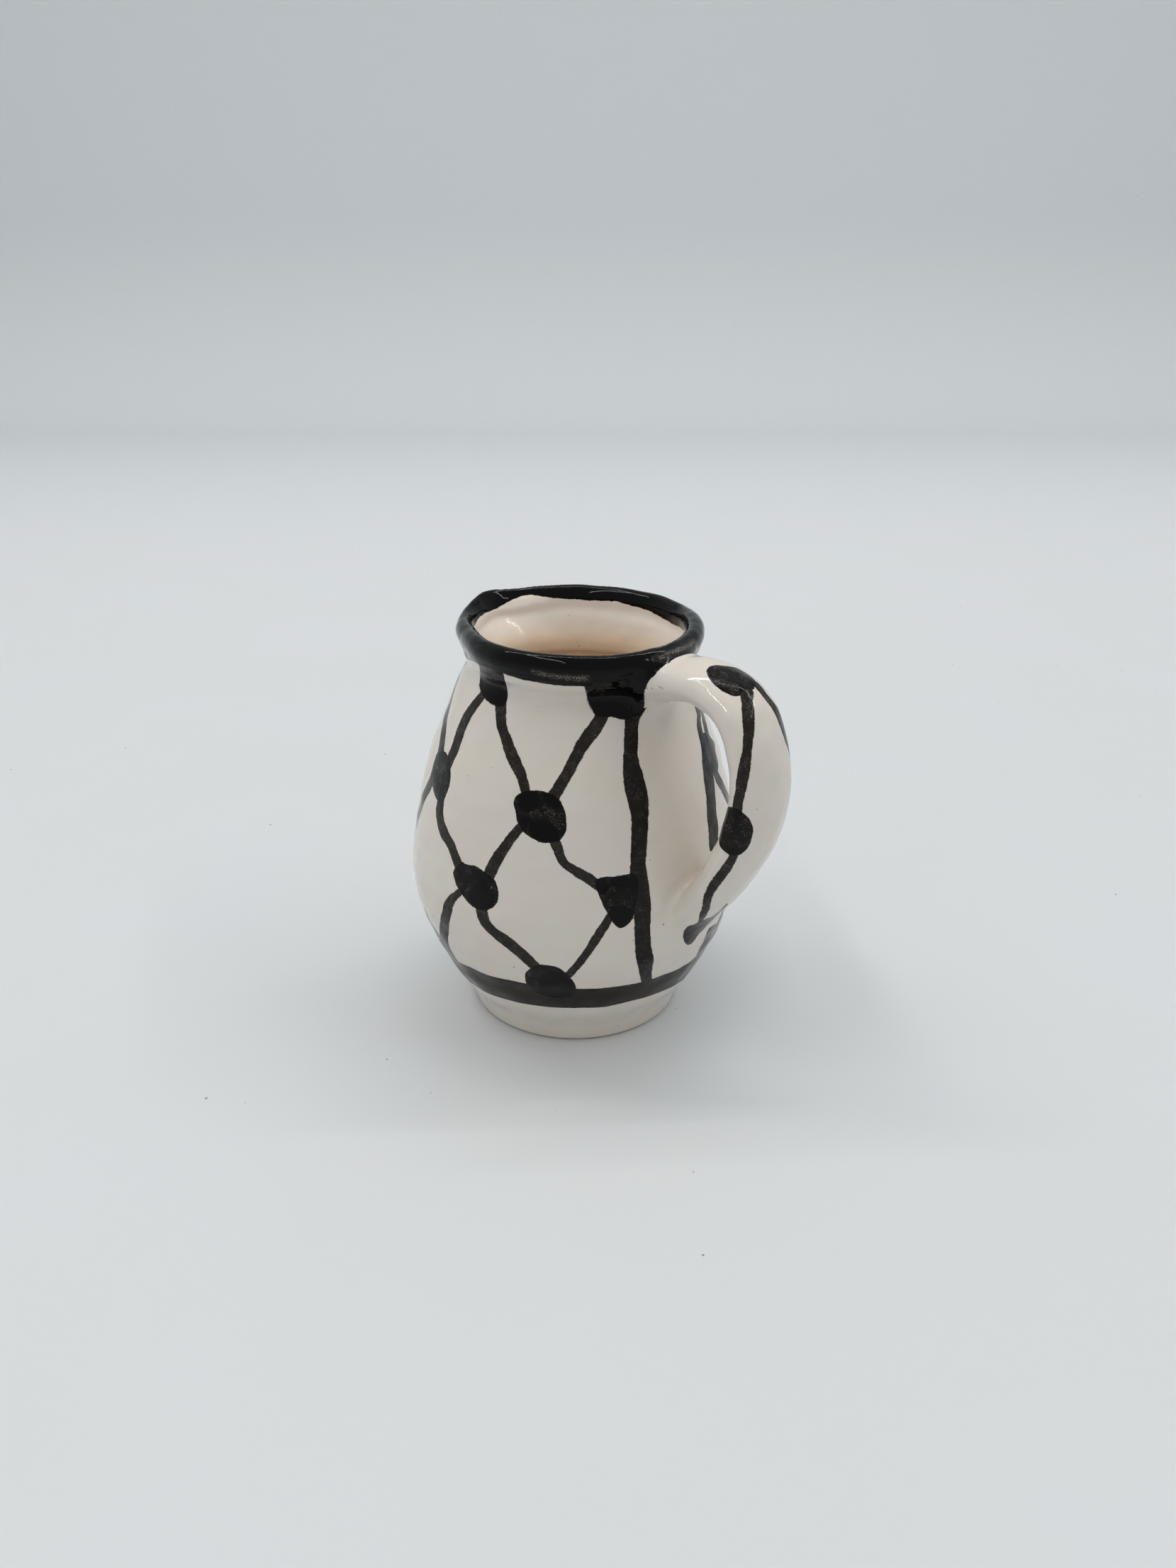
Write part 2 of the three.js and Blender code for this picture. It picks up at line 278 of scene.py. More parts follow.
# The outlines start beyond the jug's axis, so that the axis itself is inside the clay
PAST_AXIS = -3.0
FOOT_CORNER_STEPS = 6
ROLL_FILLET = 1.6


def flat_field():
    """Signed distance from the turned outline over a flat map of radius and height."""
    radius = np.arange(0, FLAT_WIDE, FLAT_STEP)
    height = np.arange(FLAT_LOW, FLAT_HIGH, FLAT_STEP)
    r, z = np.meshgrid(radius, height, indexing="ij")
    points = np.column_stack([r.ravel(), z.ravel()])
    inner = FOOT_RADIUS - FOOT_LAND
    outline = [(PAST_AXIS, FOOT_HEIGHT), (inner - FOOT_LEAN, FOOT_HEIGHT), (inner, 0), (FOOT_RADIUS, 0)]
    for step in range(1, FOOT_CORNER_STEPS + 1):
        turn = step / FOOT_CORNER_STEPS * math.pi / 2
        outline.append((FOOT_RADIUS + FOOT_ROUND * math.sin(turn), FOOT_ROUND * (1 - math.cos(turn))))
    clay = np.vstack([outline, OUTSIDE, INSIDE[::-1], (PAST_AXIS, INSIDE[0][1])])
    field = outline_distance(points, clay)
    half_wide, half_high = ROLL_WIDTH / 2, ROLL_HEIGHT / 2
    out, up = points[:, 0] - ROLL_RADIUS, points[:, 1] - (JUG_HEIGHT - half_high)
    roll = oval_distance(out, up, half_wide, half_high)
    return blend_near(field, roll, ROLL_FILLET).reshape(r.shape)


FLAT = flat_field()


def read_flat(radius, height, cubic=False):
    """The turned outline's distance at a radius and height; cubic has an even slope across the cells."""
    u = np.clip(radius / FLAT_STEP, 1, FLAT.shape[0] - 3.001)
    v = np.clip((height - FLAT_LOW) / FLAT_STEP, 1, FLAT.shape[1] - 3.001)
    i, j = u.astype(int), v.astype(int)
    s, t = u - i, v - j
    if not cubic:
        return read_grid(FLAT, i, j, s, t)

    def weights(x):
        return (
            -0.5 * x**3 + x**2 - 0.5 * x,
            1.5 * x**3 - 2.5 * x**2 + 1,
            -1.5 * x**3 + 2 * x**2 + 0.5 * x,
            0.5 * x**3 - 0.5 * x**2,
        )

    total = 0
    for a, wa in enumerate(weights(s)):
        for b, wb in enumerate(weights(t)):
            total = total + FLAT[i + a - 1, j + b - 1] * wa * wb
    return total


LIP_OUT = read_table(LIP_PULL, 1, around=True)
LIP_UP = read_table(LIP_PULL, 2, around=True)
LIP_RISE = read_table(LIP_WAVE, 1, around=True)
# Where the spout's press is felt: from the roll's middle inwards, and below and above the wall's top
PRESS_EDGE = 1.0
PRESS_FADE = 3.6
PRESS_BELOW = 4
PRESS_ABOVE = 2


def unpinched(p):
    """Radius and height of a point as they were before the lip was pinched."""
    turned = (np.arctan2(p[:, 1], p[:, 0]) / (2 * math.pi)) % 1.0
    lift = SPOUT_LIFT * LIP_UP(turned) + LIP_RISE(turned)
    height = p[:, 2]
    for _ in range(3):
        height = p[:, 2] - lift * smoothstep(height, JUG_HEIGHT - SPOUT_DEPTH, WALL_TOP)
    felt = smoothstep(height, JUG_HEIGHT - SPOUT_DEPTH, WALL_TOP)
    radius = np.hypot(p[:, 0], p[:, 1]) - SPOUT_REACH * LIP_OUT(turned) * felt
    pressed = SPOUT_PRESS * np.exp(-(((turned - SPOUT_AT) / SPOUT_SHARE) ** 2))
    within = smoothstep(ROLL_RADIUS + PRESS_EDGE - radius, 0, PRESS_FADE)
    within *= smoothstep(height, WALL_TOP - PRESS_BELOW, WALL_TOP + PRESS_ABOVE)
    return radius, height + pressed * within


def jug_distance(p, cubic=False):
    radius, height = unpinched(p)
    return read_flat(radius, height, cubic)


# Form: the handle is an oval strap along a line in the plane y = 0


def handle_line():
    """The strap's middle line, as how far along +X and how high."""
    wall = wall_radius(HANDLE_FOOT)
    reach = HANDLE_REACH - HANDLE_THICK / 2
    points = []
    for out, up in HANDLE_LINE:
        beside = mix(wall, NECK_RADIUS, up)
        points.append((mix(beside, reach, out), mix(HANDLE_FOOT, HANDLE_CROWN, up)))
    return evenly(smooth_line(points, 30), 0.5)


STRAP = handle_line()
STRAP_LONG = float(np.linalg.norm(np.diff(STRAP, axis=0), axis=1).sum())
STRAP_WIDE = read_table(HANDLE_TAPER, 1)
STRAP_THICK = read_table(HANDLE_TAPER, 2)
MAP_STEP = 0.4
MAP_LOW = np.array([14.0, 20.0])
MAP_SIZE = (142, 226)
# Steps by which the line goes on straight at each end
STRAP_BEYOND = 60
# The box about the handle, outside which its distance isn't needed
HANDLE_FROM = 12
HANDLE_BESIDE = 24
HANDLE_ABOVE = 22


def strap_map():
    """For each place of a flat map: how far along the strap's line it is, and how far outside the line."""
    x = MAP_LOW[0] + MAP_STEP * np.arange(MAP_SIZE[0])
    z = MAP_LOW[1] + MAP_STEP * np.arange(MAP_SIZE[1])
    gx, gz = np.meshgrid(x, z, indexing="ij")
    p = np.column_stack([gx.ravel(), gz.ravel()])
    best = np.full(len(p), np.inf)
    along = np.zeros(len(p))
    out = np.zeros(len(p))
    last = len(STRAP) - 2
    for i in range(len(STRAP) - 1):
        a, b = STRAP[i], STRAP[i + 1]
        e = b - a
        t = (p - a) @ e / (e @ e)
        t = np.clip(t, -STRAP_BEYOND if i == 0 else 0, STRAP_BEYOND if i == last else 1)
        gap = p - a - t[:, None] * e
        far = (gap**2).sum(1)
        nearer = far < best
        best[nearer] = far[nearer]
        along[nearer] = (i + t[nearer]) / (len(STRAP) - 1)
        normal = np.array([-e[1], e[0]]) / np.linalg.norm(e)
        out[nearer] = (gap @ normal)[nearer]
    return along.reshape(gx.shape), out.reshape(gx.shape)


STRAP_ALONG, STRAP_OUT = strap_map()


def strap_place(p):
    """Share of the strap's length and distance outside its line, for points near it."""
    u = np.clip((p[:, 0] - MAP_LOW[0]) / MAP_STEP, 0, MAP_SIZE[0] - 1.001)
    v = np.clip((p[:, 2] - MAP_LOW[1]) / MAP_STEP, 0, MAP_SIZE[1] - 1.001)
    i, j = u.astype(int), v.astype(int)
    return [read_grid(each, i, j, u - i, v - j) for each in (STRAP_ALONG, STRAP_OUT)]


def strap_distance(p):
    along, out = strap_place(p)
    along = np.clip(along, 0, 1)
    thick, wide = HANDLE_THICK / 2 * STRAP_THICK(along), HANDLE_WIDTH / 2 * STRAP_WIDE(along)
    return oval_distance(out, p[:, 1], thick, wide)


def by_handle(p):
    return (p[:, 0] > HANDLE_FROM) & (np.abs(p[:, 1]) < HANDLE_BESIDE) & (p[:, 2] > HANDLE_ABOVE)


# A hand's unevenness: long low waves all over the clay and a thrower's rings round it, in millimetres
WAVES = np.random.default_rng(5)
WAVE_COUNT = 9
WAVE_LEAST, WAVE_MOST = 5, 12
WAVE_WAYS = WAVES.normal(size=(WAVE_COUNT, 3))
WAVE_LONG = WAVES.uniform(WAVE_LEAST, WAVE_MOST, WAVE_COUNT)
WAVE_WAYS *= (2 * math.pi / WAVE_LONG / np.linalg.norm(WAVE_WAYS, axis=1))[:, None]
WAVE_STARTS = WAVES.uniform(0, 6.3, WAVE_COUNT)
WAVE_HIGH = 0.018
HANDLE_ROUGHER = 0.8
RING_HIGH = 0.035
RING_APART = 6.5


def unevenness(p):
    """How far the clay lies inside its plain form; nothing at the foot, which stands flat."""
    total = np.zeros(len(p))
    for way, start in zip(WAVE_WAYS, WAVE_STARTS):
        total += np.sin(p @ way + start)
    wide = np.hypot(p[:, 0], p[:, 1])
    spiral = p[:, 2] / RING_APART - np.arctan2(p[:, 1], p[:, 0]) / (2 * math.pi)
    rings = np.sin(2 * math.pi * spiral) * smoothstep(wide, 20, 26) * smoothstep(-wide, -50, -44)
    handled = 1 + HANDLE_ROUGHER * smoothstep(p[:, 0], 34, 46)
    felt = smoothstep(p[:, 2], 1.5, 6)
    return felt * (WAVE_HIGH * handled * total + RING_HIGH * rings)


# How softly the strap runs into the jug: more at its lower end, where the clay was smeared down
JOIN_TOP = 5.0
JOIN_FOOT = 2.2
JOIN_END = 7.0
# The strap ends inside the wall, between these depths, and doesn't come out into the mouth
STRAP_ENDS = (-2.6, -1.2)
STRAP_AWAY = 9


def join_reach(z):
    """The fillet between strap and jug at a height."""
    return mix(mix(JOIN_END, JOIN_FOOT, smoothstep(z, 30, 46)), JOIN_TOP, smoothstep(z, 50, 80))


def whole_distance(p, cubic=True):
    """Distance to the whole jug's skin, negative inside the clay."""
    jug = jug_distance(p, cubic)
    near = by_handle(p)
    if near.any():
        q = p[near]
        radius, height = unpinched(q)
        depth = radius - wall_radius(height)
        strap = strap_distance(q) + STRAP_AWAY * (1 - smoothstep(depth, *STRAP_ENDS))
        jug[near] = blend_near(jug[near], strap, join_reach(q[:, 2]))
    return jug + unevenness(p)


def slope_of(p, step=0.12):
    """How the distance grows along each axis."""
    g = np.empty_like(p)
    for k in range(3):
        d = np.zeros(3)
        d[k] = step
        g[:, k] = (whole_distance(p + d) - whole_distance(p - d)) / (2 * step)
    return g


def settle(p, rounds=3):
    """Moves points straight onto the skin, by no more than a cell at a time."""
    for _ in range(rounds):
        g = slope_of(p)
        step = (whole_distance(p) / np.maximum((g**2).sum(1), 0.25))[:, None] * g
        p = p - np.clip(step, -0.4, 0.4)
    return p


def largest(points, quads):
    """The points and faces of the largest connected piece."""
    group = np.arange(len(points))
    while True:
        least = group[quads].min(1)
        after = group.copy()
        np.minimum.at(after, quads.ravel(), np.repeat(least, 4))
        after = after[after]
        if (after == group).all():
            break
        group = after
    names, counts = np.unique(group, return_counts=True)
    kept = group == names[np.argmax(counts)]
    place = np.cumsum(kept) - 1
    return points[kept], place[quads[kept[quads[:, 0]]]]


# The box that the skin is looked for in
SKIN_LOW = np.array([-48.0, -46.0, -2.0])
SKIN_HIGH = np.array([68.0, 46.0, 109.0])


def skin():
    """Points and four-sided faces of the whole glazed skin, with the direction that each point faces."""
    low = SKIN_LOW
    counts = np.ceil((SKIN_HIGH - low) / SPACING).astype(int) + 1
    field = np.empty(counts, np.float32)
    y = low[1] + SPACING * np.arange(counts[1])
    z = low[2] + SPACING * np.arange(counts[2])
    gy, gz = np.meshgrid(y, z, indexing="ij")
    for i in range(counts[0]):
        x = np.full(gy.size, low[0] + SPACING * i)
        p = np.column_stack([x, gy.ravel(), gz.ravel()])
        field[i] = whole_distance(p, cubic=False).reshape(gy.shape)
    grid = openvdb.FloatGrid(background=3.0)
    grid.copyFromArray(field)
    points, quads = grid.convertToQuads(isovalue=0.0)
    points = low + SPACING * points.astype(float)
    points, quads = largest(points, quads.astype(int))
    points = settle(points)
    normals = slope_of(points)
    normals /= np.linalg.norm(normals, axis=1)[:, None]
    return points, quads, normals


# Camera: its axes, its place and its focal length in pixels

AZIMUTH = math.radians(TURN)
DOWN = math.radians(PITCH)
RIGHT = np.array([math.cos(AZIMUTH), math.sin(AZIMUTH), 0])
AWAY = np.array([-math.sin(AZIMUTH), math.cos(AZIMUTH), 0])
LOOK = AWAY * math.cos(DOWN) - np.array([0, 0, math.sin(DOWN)])
UP = AWAY * math.sin(DOWN) + np.array([0, 0, math.cos(DOWN)])
EYE = RIGHT * AIM_RIGHT + np.array([0, 0, AIM_UP]) - LOOK * DISTANCE
PIXELS = LENS / SENSOR * PHOTO_HIGH


def to_frame(p):
    return Vector((AXIS_X + p[0] * MM, p[1] * MM, p[2] * MM))


def add_object(name, data):
    thing = bpy.data.objects.new(name, data)
    bpy.context.scene.collection.objects.link(thing)
    return thing


def place(thing, at, *axes):
    """Puts an object at a point of the frame, with its own axes along the given ones."""
    thing.matrix_world = Matrix.Translation(at) @ Matrix([Vector(a) for a in axes]).transposed().to_4x4()


def place_camera():
    data = bpy.data.cameras.new("photo_view")
    data.lens = LENS
    data.sensor_width = SENSOR
    data.sensor_fit = "AUTO"
    data.clip_start = 0.01
    data.clip_end = 20
    camera = add_object("photo_view", data)
    place(camera, to_frame(EYE), RIGHT, UP, -LOOK)
    bpy.context.scene.camera = camera


def pixels_of(p):
    """Where the photo shows points, and how many millimetres a pixel is there."""
    q = p - EYE
    depth = q @ LOOK
    across = PHOTO_WIDE / 2 + PIXELS * (q @ RIGHT) / depth
    down = PHOTO_HIGH / 2 - PIXELS * (q @ UP) / depth
    return np.column_stack([across, down]), depth / PIXELS


# Along each ray the jug is looked for between these distances from the camera
RAY_NEAR, RAY_FAR, RAY_STEP = 225, 400, 0.5


def land(pixels, body):
    """The places on a body, given by its distance, that the photo shows at these pixels."""
    pixels = np.asarray(pixels, float)[:, :2]
    across = (pixels[:, 0] - PHOTO_WIDE / 2) / PIXELS
    down = (pixels[:, 1] - PHOTO_HIGH / 2) / PIXELS
    rays = LOOK + across[:, None] * RIGHT - down[:, None] * UP
    depth = np.arange(RAY_NEAR, RAY_FAR, RAY_STEP)
    found = []
    for ray in rays:
        p = EYE + depth[:, None] * ray
        d = body(p)
        inside = np.nonzero(d < 0)[0]
        if len(inside):
            i = max(inside[0], 1)
            t = depth[i - 1] + RAY_STEP * d[i - 1] / max(d[i - 1] - d[i], 1e-6)
        else:
            t = depth[np.argmin(d)]
        found.append(EYE + t * ray)
    return np.array(found)


def land_on_jug(pixels):
    return on_jug(land(pixels, jug_distance))


AWAY_FROM_ALL = 99.0
STRAP_FROM, STRAP_ABOVE = 22, 30


def strap_alone(p):
    """The handle's distance, kept to the part of space that the handle fills."""
    return strap_distance(p) + AWAY_FROM_ALL * ((p[:, 0] < STRAP_FROM) | (p[:, 2] < STRAP_ABOVE))


def land_on_strap(pixels):
    return on_strap(land(pixels, strap_alone))


# Paint: flat maps of the jug's outside and of the handle, on which shapes keep their form

STEPS = np.linalg.norm(np.diff(OUTSIDE, axis=0), axis=1)
MIDDLE = (OUTSIDE[1:, 0] + OUTSIDE[:-1, 0]) / 2
CLIMB = np.r_[0, np.cumsum(STEPS / MIDDLE)]


def on_jug(p):
    """Turn and climb of points on the jug's outside, and the size in millimetres of one unit of them."""
    height = unpinched(p)[1]
    turn = np.arctan2(p[:, 1], p[:, 0])
    below = np.minimum(height - OUTSIDE[0, 1], 0) / OUTSIDE[0, 0]
    above = np.maximum(height - OUTSIDE[-1, 1], 0) / OUTSIDE[-1, 0]
    climb = np.interp(height, OUTSIDE[:, 1], CLIMB) + below + above
    return np.column_stack([turn, climb]), wall_radius(height)


def middle_radius(height):
    """The radius halfway through the wall, or through the roll above it."""
    inner = np.interp(height, INSIDE[:, 1], INSIDE[:, 0])
    return np.where(height > WALL_TOP, ROLL_RADIUS, (wall_radius(height) + inner) / 2)


QUARTER = np.linspace(0, math.pi / 2, 60)


def on_strap(p):
    """Place along and around the handle in millimetres; around is nothing along its outer middle."""
    along, out = strap_place(p)
    thick, wide = HANDLE_THICK / 2, HANDLE_WIDTH / 2
    angle = np.arctan2(p[:, 1] / wide, out / thick)
    bits = np.hypot(np.diff(thick * np.cos(QUARTER)), np.diff(wide * np.sin(QUARTER)))
    arc = np.r_[0, np.cumsum(bits)]
    size = np.abs(angle)
    first = np.interp(np.minimum(size, math.pi / 2), QUARTER, arc)
    second = arc[-1] - np.interp(math.pi - np.maximum(size, math.pi / 2), QUARTER, arc)
    around = np.sign(angle) * (first + np.where(size > math.pi / 2, second, 0))
    return np.column_stack([along * STRAP_LONG, around]), np.ones(len(p))


def turned_near(places, centre):
    """The same places with their turn counted within half a turn of a centre."""
    turn = (places[:, 0] - centre + math.pi) % (2 * math.pi) - math.pi
    return np.column_stack([turn, places[:, 1]])


# Distances to paint are kept up to this many millimetres
FAR = 4.0


class Surface:
    """The points that take paint: their flat places, a unit's millimetres, and whether places go round."""

    def __init__(self, places, scale, allowed, wraps):
        self.places, self.scale, self.allowed, self.wraps = places, scale, allowed, wraps

    def near(self, shape, margin):
        """Which points lie near a flat shape, with all places and the shape counted from its middle."""
        centre = shape[:, 0].mean() if self.wraps else 0.0
        flat = turned_near(self.places, centre) if self.wraps else self.places - (centre, 0)
        drawn = turned_near(shape, centre) if self.wraps else shape
        low, high = drawn.min(0), drawn.max(0)
        gap = (margin / self.scale)[:, None]
        close = self.allowed & ((flat > low - gap) & (flat < high + gap)).all(1)
        return np.nonzero(close)[0], flat, drawn

    def stroke(self, into, shape, halves):
        """Adds a stroke along a line with its half widths in millimetres."""
        index, flat, line = self.near(shape, FAR + max(halves))
        if not len(index):
            return
        p, scale = flat[index], self.scale[index]
        best = np.full(len(index), FAR)
        for a, b, wa, wb in zip(line[:-1], line[1:], halves[:-1], halves[1:]):
            e = b - a
            t = np.clip((p - a) @ e / max(e @ e, 1e-12), 0, 1)
            gap = np.hypot(*(p - a - t[:, None] * e).T) * scale
            best = np.minimum(best, gap - wa - (wb - wa) * t)
        into[index] = np.minimum(into[index], best)

    def patch(self, into, shape):
        """Adds a shape by its closed outline."""
        index, flat, outline = self.near(shape, FAR)
        if len(index):
            found = outline_distance(flat[index], outline) * self.scale[index]
            into[index] = np.minimum(into[index], found)


# Paint: what the photo shows, read in its own pixels

# Brush strokes of the lattice: width across the stroke, then the middle of the stroke
STROKES = [
    (15, [(706, 990), (708, 1024), (715, 1046), (726, 1074), (736, 1096), (743, 1122)]),
    (18, [(852, 1004), (843, 1022), (823, 1049), (801, 1090), (778, 1128)]),
    (11, [(684, 976), (657, 1014), (643, 1051), (632, 1080)]),
    (8, [(622, 1062), (626, 1027), (631, 1002), (637, 983), (647, 952)]),
    (9, [(612, 1090), (609, 1100), (598, 1123), (591, 1146), (585, 1175)]),
    (12, [(622, 1122), (620, 1150), (626, 1175), (637, 1194), (648, 1226)]),
    (15, [(742, 1160), (735, 1166), (710, 1198), (694, 1225), (684, 1250)]),
    (10, [(656, 1250), (648, 1259), (635, 1272), (629, 1293), (626, 1318), (630, 1336)]),
    (9, [(603, 1292), (610, 1307), (625, 1328), (648, 1362)]),
    (14, [(678, 1276), (683, 1299), (697, 1315), (716, 1329), (735, 1345), (762, 1370)]),
    (13, [(779, 1180), (788, 1200), (794, 1216), (809, 1227), (828, 1238), (852, 1256)]),
    (11, [(866, 1284), (858, 1297), (841, 1324), (822, 1353), (798, 1380)]),
    (4, [(990, 1002), (994, 1018), (998, 1040)]),
    (6, [(1006, 1082), (1013, 1098), (1019, 1109), (1028, 1130)]),
]
# The two strokes that meet at the belly's right edge
RIGHT_EDGE = [
    (1008, 1297), (1004, 1303), (998, 1315), (992, 1329), (986, 1341), (982, 1352), (986, 1352),
    (991, 1343), (997, 1336), (1003, 1328), (1009, 1317), (1015, 1304), (1020, 1295), (1022, 1289),
    (1019, 1290), (1016, 1296), (1012, 1303), (1008, 1309), (1006, 1311), (1009, 1303), (1011, 1297),
]
# Round dots where the strokes meet, by their outlines
DOTS = {
    "under_rim": [
        (672, 926), (676, 940), (677, 952), (677, 970), (680, 980), (688, 989), (698, 995), (706, 997),
        (713, 994), (716, 982), (715, 970), (711, 956), (708, 940), (690, 922),
    ],
    "under_rim_by_handle": [
        (826, 962), (827, 978), (832, 992), (838, 1004), (840, 1010), (854, 1011), (866, 1012),
        (878, 1015), (892, 1012), (904, 1000), (908, 980), (908, 962), (866, 950),
    ],
    "middle": [
        (725, 1128), (736, 1118), (749, 1115), (772, 1118), (782, 1122), (790, 1131), (796, 1142),
        (799, 1158), (798, 1172), (790, 1185), (782, 1188), (770, 1189), (755, 1184), (738, 1173),
        (730, 1160), (728, 1146),
    ],
    "left": [
        (620, 1059), (627, 1060), (633, 1069), (636, 1084), (635, 1104), (630, 1120), (624, 1130),
        (618, 1130), (612, 1118), (610, 1102), (610, 1084), (614, 1070),
    ],
    "lower_left": [
        (639, 1229), (644, 1222), (652, 1216), (656, 1219), (672, 1222), (688, 1234), (698, 1242),
        (703, 1258), (702, 1270), (696, 1279), (686, 1284), (674, 1283), (662, 1275), (648, 1256),
        (641, 1240),
    ],
    "on_band": [
        (741, 1374), (744, 1370), (757, 1361), (770, 1361), (787, 1365), (800, 1375), (809, 1385),
        (812, 1392), (811, 1404), (780, 1408), (755, 1400), (742, 1386),
    ],
    "by_handle": [
        (840, 1243), (854, 1237), (872, 1237), (896, 1233), (900, 1262), (895, 1284), (892, 1295),
        (886, 1304), (875, 1309), (865, 1302), (859, 1291), (852, 1280), (844, 1260),
    ],
    "behind_handle": [
        (990, 1036), (998, 1033), (1002, 1040), (1007, 1047), (1009, 1058), (1012, 1071),
        (1013, 1082), (1012, 1089), (1005, 1089), (997, 1086), (991, 1062),
    ],
}
# Second dabs of the brush, darker where they lie over the first
DABS = {
    "under_rim": [(677, 964), (694, 966), (714, 974), (715, 984), (711, 993), (698, 994), (684, 984)],
    "under_rim_by_handle": [
        (829, 983), (846, 981), (862, 982), (878, 976), (890, 968), (906, 972), (904, 998),
        (892, 1010), (866, 1010), (842, 1008),
    ],
    "middle_left": [(730, 1126), (742, 1116), (756, 1118), (759, 1132), (750, 1144), (736, 1142)],
    "middle_right": [(768, 1120), (782, 1123), (791, 1133), (786, 1140), (774, 1139), (768, 1130)],
    "middle_low": [
        (746, 1170), (756, 1158), (772, 1158), (784, 1168), (786, 1182), (774, 1188), (756, 1184),
    ],
    "lower_left": [(660, 1262), (672, 1250), (690, 1254), (697, 1268), (690, 1281), (672, 1281)],
    "by_handle_left": [(842, 1244), (852, 1238), (858, 1248), (854, 1260), (846, 1258)],
    "by_handle_top": [(862, 1240), (890, 1237), (893, 1248), (876, 1252), (864, 1249)],
    "by_handle_low": [(863, 1286), (876, 1278), (892, 1284), (890, 1299), (876, 1308), (865, 1300)],
    "on_band": [(760, 1378), (780, 1372), (800, 1380), (808, 1394), (786, 1404), (764, 1400)],
}
# The broad stroke beside the handle, by its two edges from the rim down
BESIDE_LEFT = [
    (886, 985), (882, 1012), (881, 1030), (880, 1060), (879, 1090), (881, 1110), (885, 1130),
    (891, 1152), (891, 1170), (890, 1200), (889, 1234), (895, 1295), (896, 1332), (897, 1350),
    (901, 1370), (905, 1386),
]
BESIDE_RIGHT = [
    (909, 969), (908, 980), (905, 1004), (901, 1016), (900, 1040), (900, 1068), (906, 1090),
    (912, 1112), (915, 1136), (914, 1170), (912, 1200), (911, 1220), (914, 1240), (917, 1264),
    (918, 1290), (917, 1332), (920, 1350), (919, 1370), (919, 1385),
]
# The stroke beyond the handle, as far as the photo shows it
BEYOND_LEFT = [
    (984, 1001), (983, 1023), (987, 1043), (990, 1063), (991, 1078), (993, 1100), (996, 1122),
    (997, 1144), (999, 1166), (1000, 1188), (1002, 1202),
]
BEYOND_RIGHT = [
    (987, 1003), (991, 1030), (996, 1048), (1001, 1070), (1005, 1088), (1008, 1102), (1009, 1122),
    (1011, 1144), (1013, 1166), (1013, 1186),
]
# The band's two edges, and the foot of the black lip
BAND_TOP = [
    (630, 1327), (640, 1347), (645, 1355), (662, 1364), (687, 1375), (715, 1382), (740, 1387),
    (775, 1392), (812, 1395), (850, 1394), (880, 1390), (902, 1386), (922, 1380), (950, 1370),
    (970, 1359), (985, 1347),
]
BAND_FOOT = [
    (642, 1367), (662, 1385), (680, 1397), (710, 1409), (740, 1416), (780, 1421), (820, 1422),
    (855, 1420), (892, 1412), (925, 1402), (950, 1391), (970, 1377), (990, 1360),
]
LIP_FOOT = [
    (657, 928), (668, 933), (680, 939), (694, 944), (707, 949), (732, 957), (760, 963), (790, 967),
    (820, 968), (850, 968), (880, 964), (905, 957), (920, 950),
]
# The black where the handle leaves the lip
LIP_BY_HANDLE = [
    (858, 940), (858, 1002), (872, 1011), (884, 1008), (902, 1009), (908, 996), (909, 974),
    (915, 962), (924, 951), (934, 941), (948, 934), (962, 929), (976, 926), (991, 924), (992, 905),
    (968, 905), (930, 915), (890, 925),
]
# Where the brush ran dry on the lip
DRY = [
    [(922, 929), (940, 918), (960, 909), (979, 902), (982, 909), (966, 919), (946, 927), (930, 935)],
    [(748, 943), (776, 948), (806, 951), (834, 953), (832, 962), (800, 962), (770, 957), (750, 951)],
]
# Where the black of the lip ends inside the mouth, from left to right
LIP_INSIDE = [
    (661, 912), (669, 884), (676, 871), (686, 864), (700, 858), (716, 849), (732, 842), (744, 839),
    (760, 840), (780, 843), (810, 845), (840, 847), (870, 848), (886, 853), (910, 859), (932, 870),
    (950, 880), (964, 888), (976, 902), (996, 940),
]
# The part of the stroke beyond the handle that the handle hides: three ends of it in the photo's pixels,
# then the turns in degrees and heights that it passes above, between and below them
BEYOND_ENDS = [(985, 1003), (1007, 1186), (1009, 1300)]
BEYOND_ABOVE = [(38, 99), (35, 91)]
BEYOND_BETWEEN = [(18.5, 46), (19, 38)]
BEYOND_BELOW = (18, 20)
BEYOND_HALVES = (1.9, 2.0)
# On the handle: its two dots
HANDLE_TOP_DOT = [
    (998, 944), (1006, 939), (1023, 939), (1041, 943), (1054, 950), (1063, 958), (1066, 967),
    (1060, 974), (1052, 972), (1046, 980), (1036, 982), (1023, 977), (1010, 968), (999, 954),
]
HANDLE_LEFT_DOT = [
    (1028, 1138), (1036, 1140), (1045, 1144), (1056, 1155), (1062, 1168), (1061, 1181),
    (1054, 1197), (1043, 1206), (1030, 1206), (1019, 1199), (1014, 1190), (1018, 1172),
    (1023, 1155),
]
# The lower end of the handle's stroke, with its widths, and the drop that it runs into
HANDLE_END_STROKE = [
    (1038, 1200, 11), (1032, 1213, 12), (1024, 1226, 13), (1016, 1237, 13), (1008, 1247, 13),
    (1002, 1257, 12), (998, 1268, 11), (996, 1280, 10.5), (992, 1290, 9), (988, 1301, 6),
]
HANDLE_LOW_DOT = [
    (965, 1314), (964, 1321), (965, 1327), (968, 1332), (973, 1333), (978, 1328), (984, 1320),
    (990, 1313), (996, 1307), (1001, 1302), (1005, 1298), (1012, 1291), (1022, 1281), (1027, 1276),
    (1026, 1274), (1018, 1282), (1010, 1289), (1003, 1294), (996, 1296), (988, 1300), (982, 1303),
    (975, 1305), (969, 1308),
]
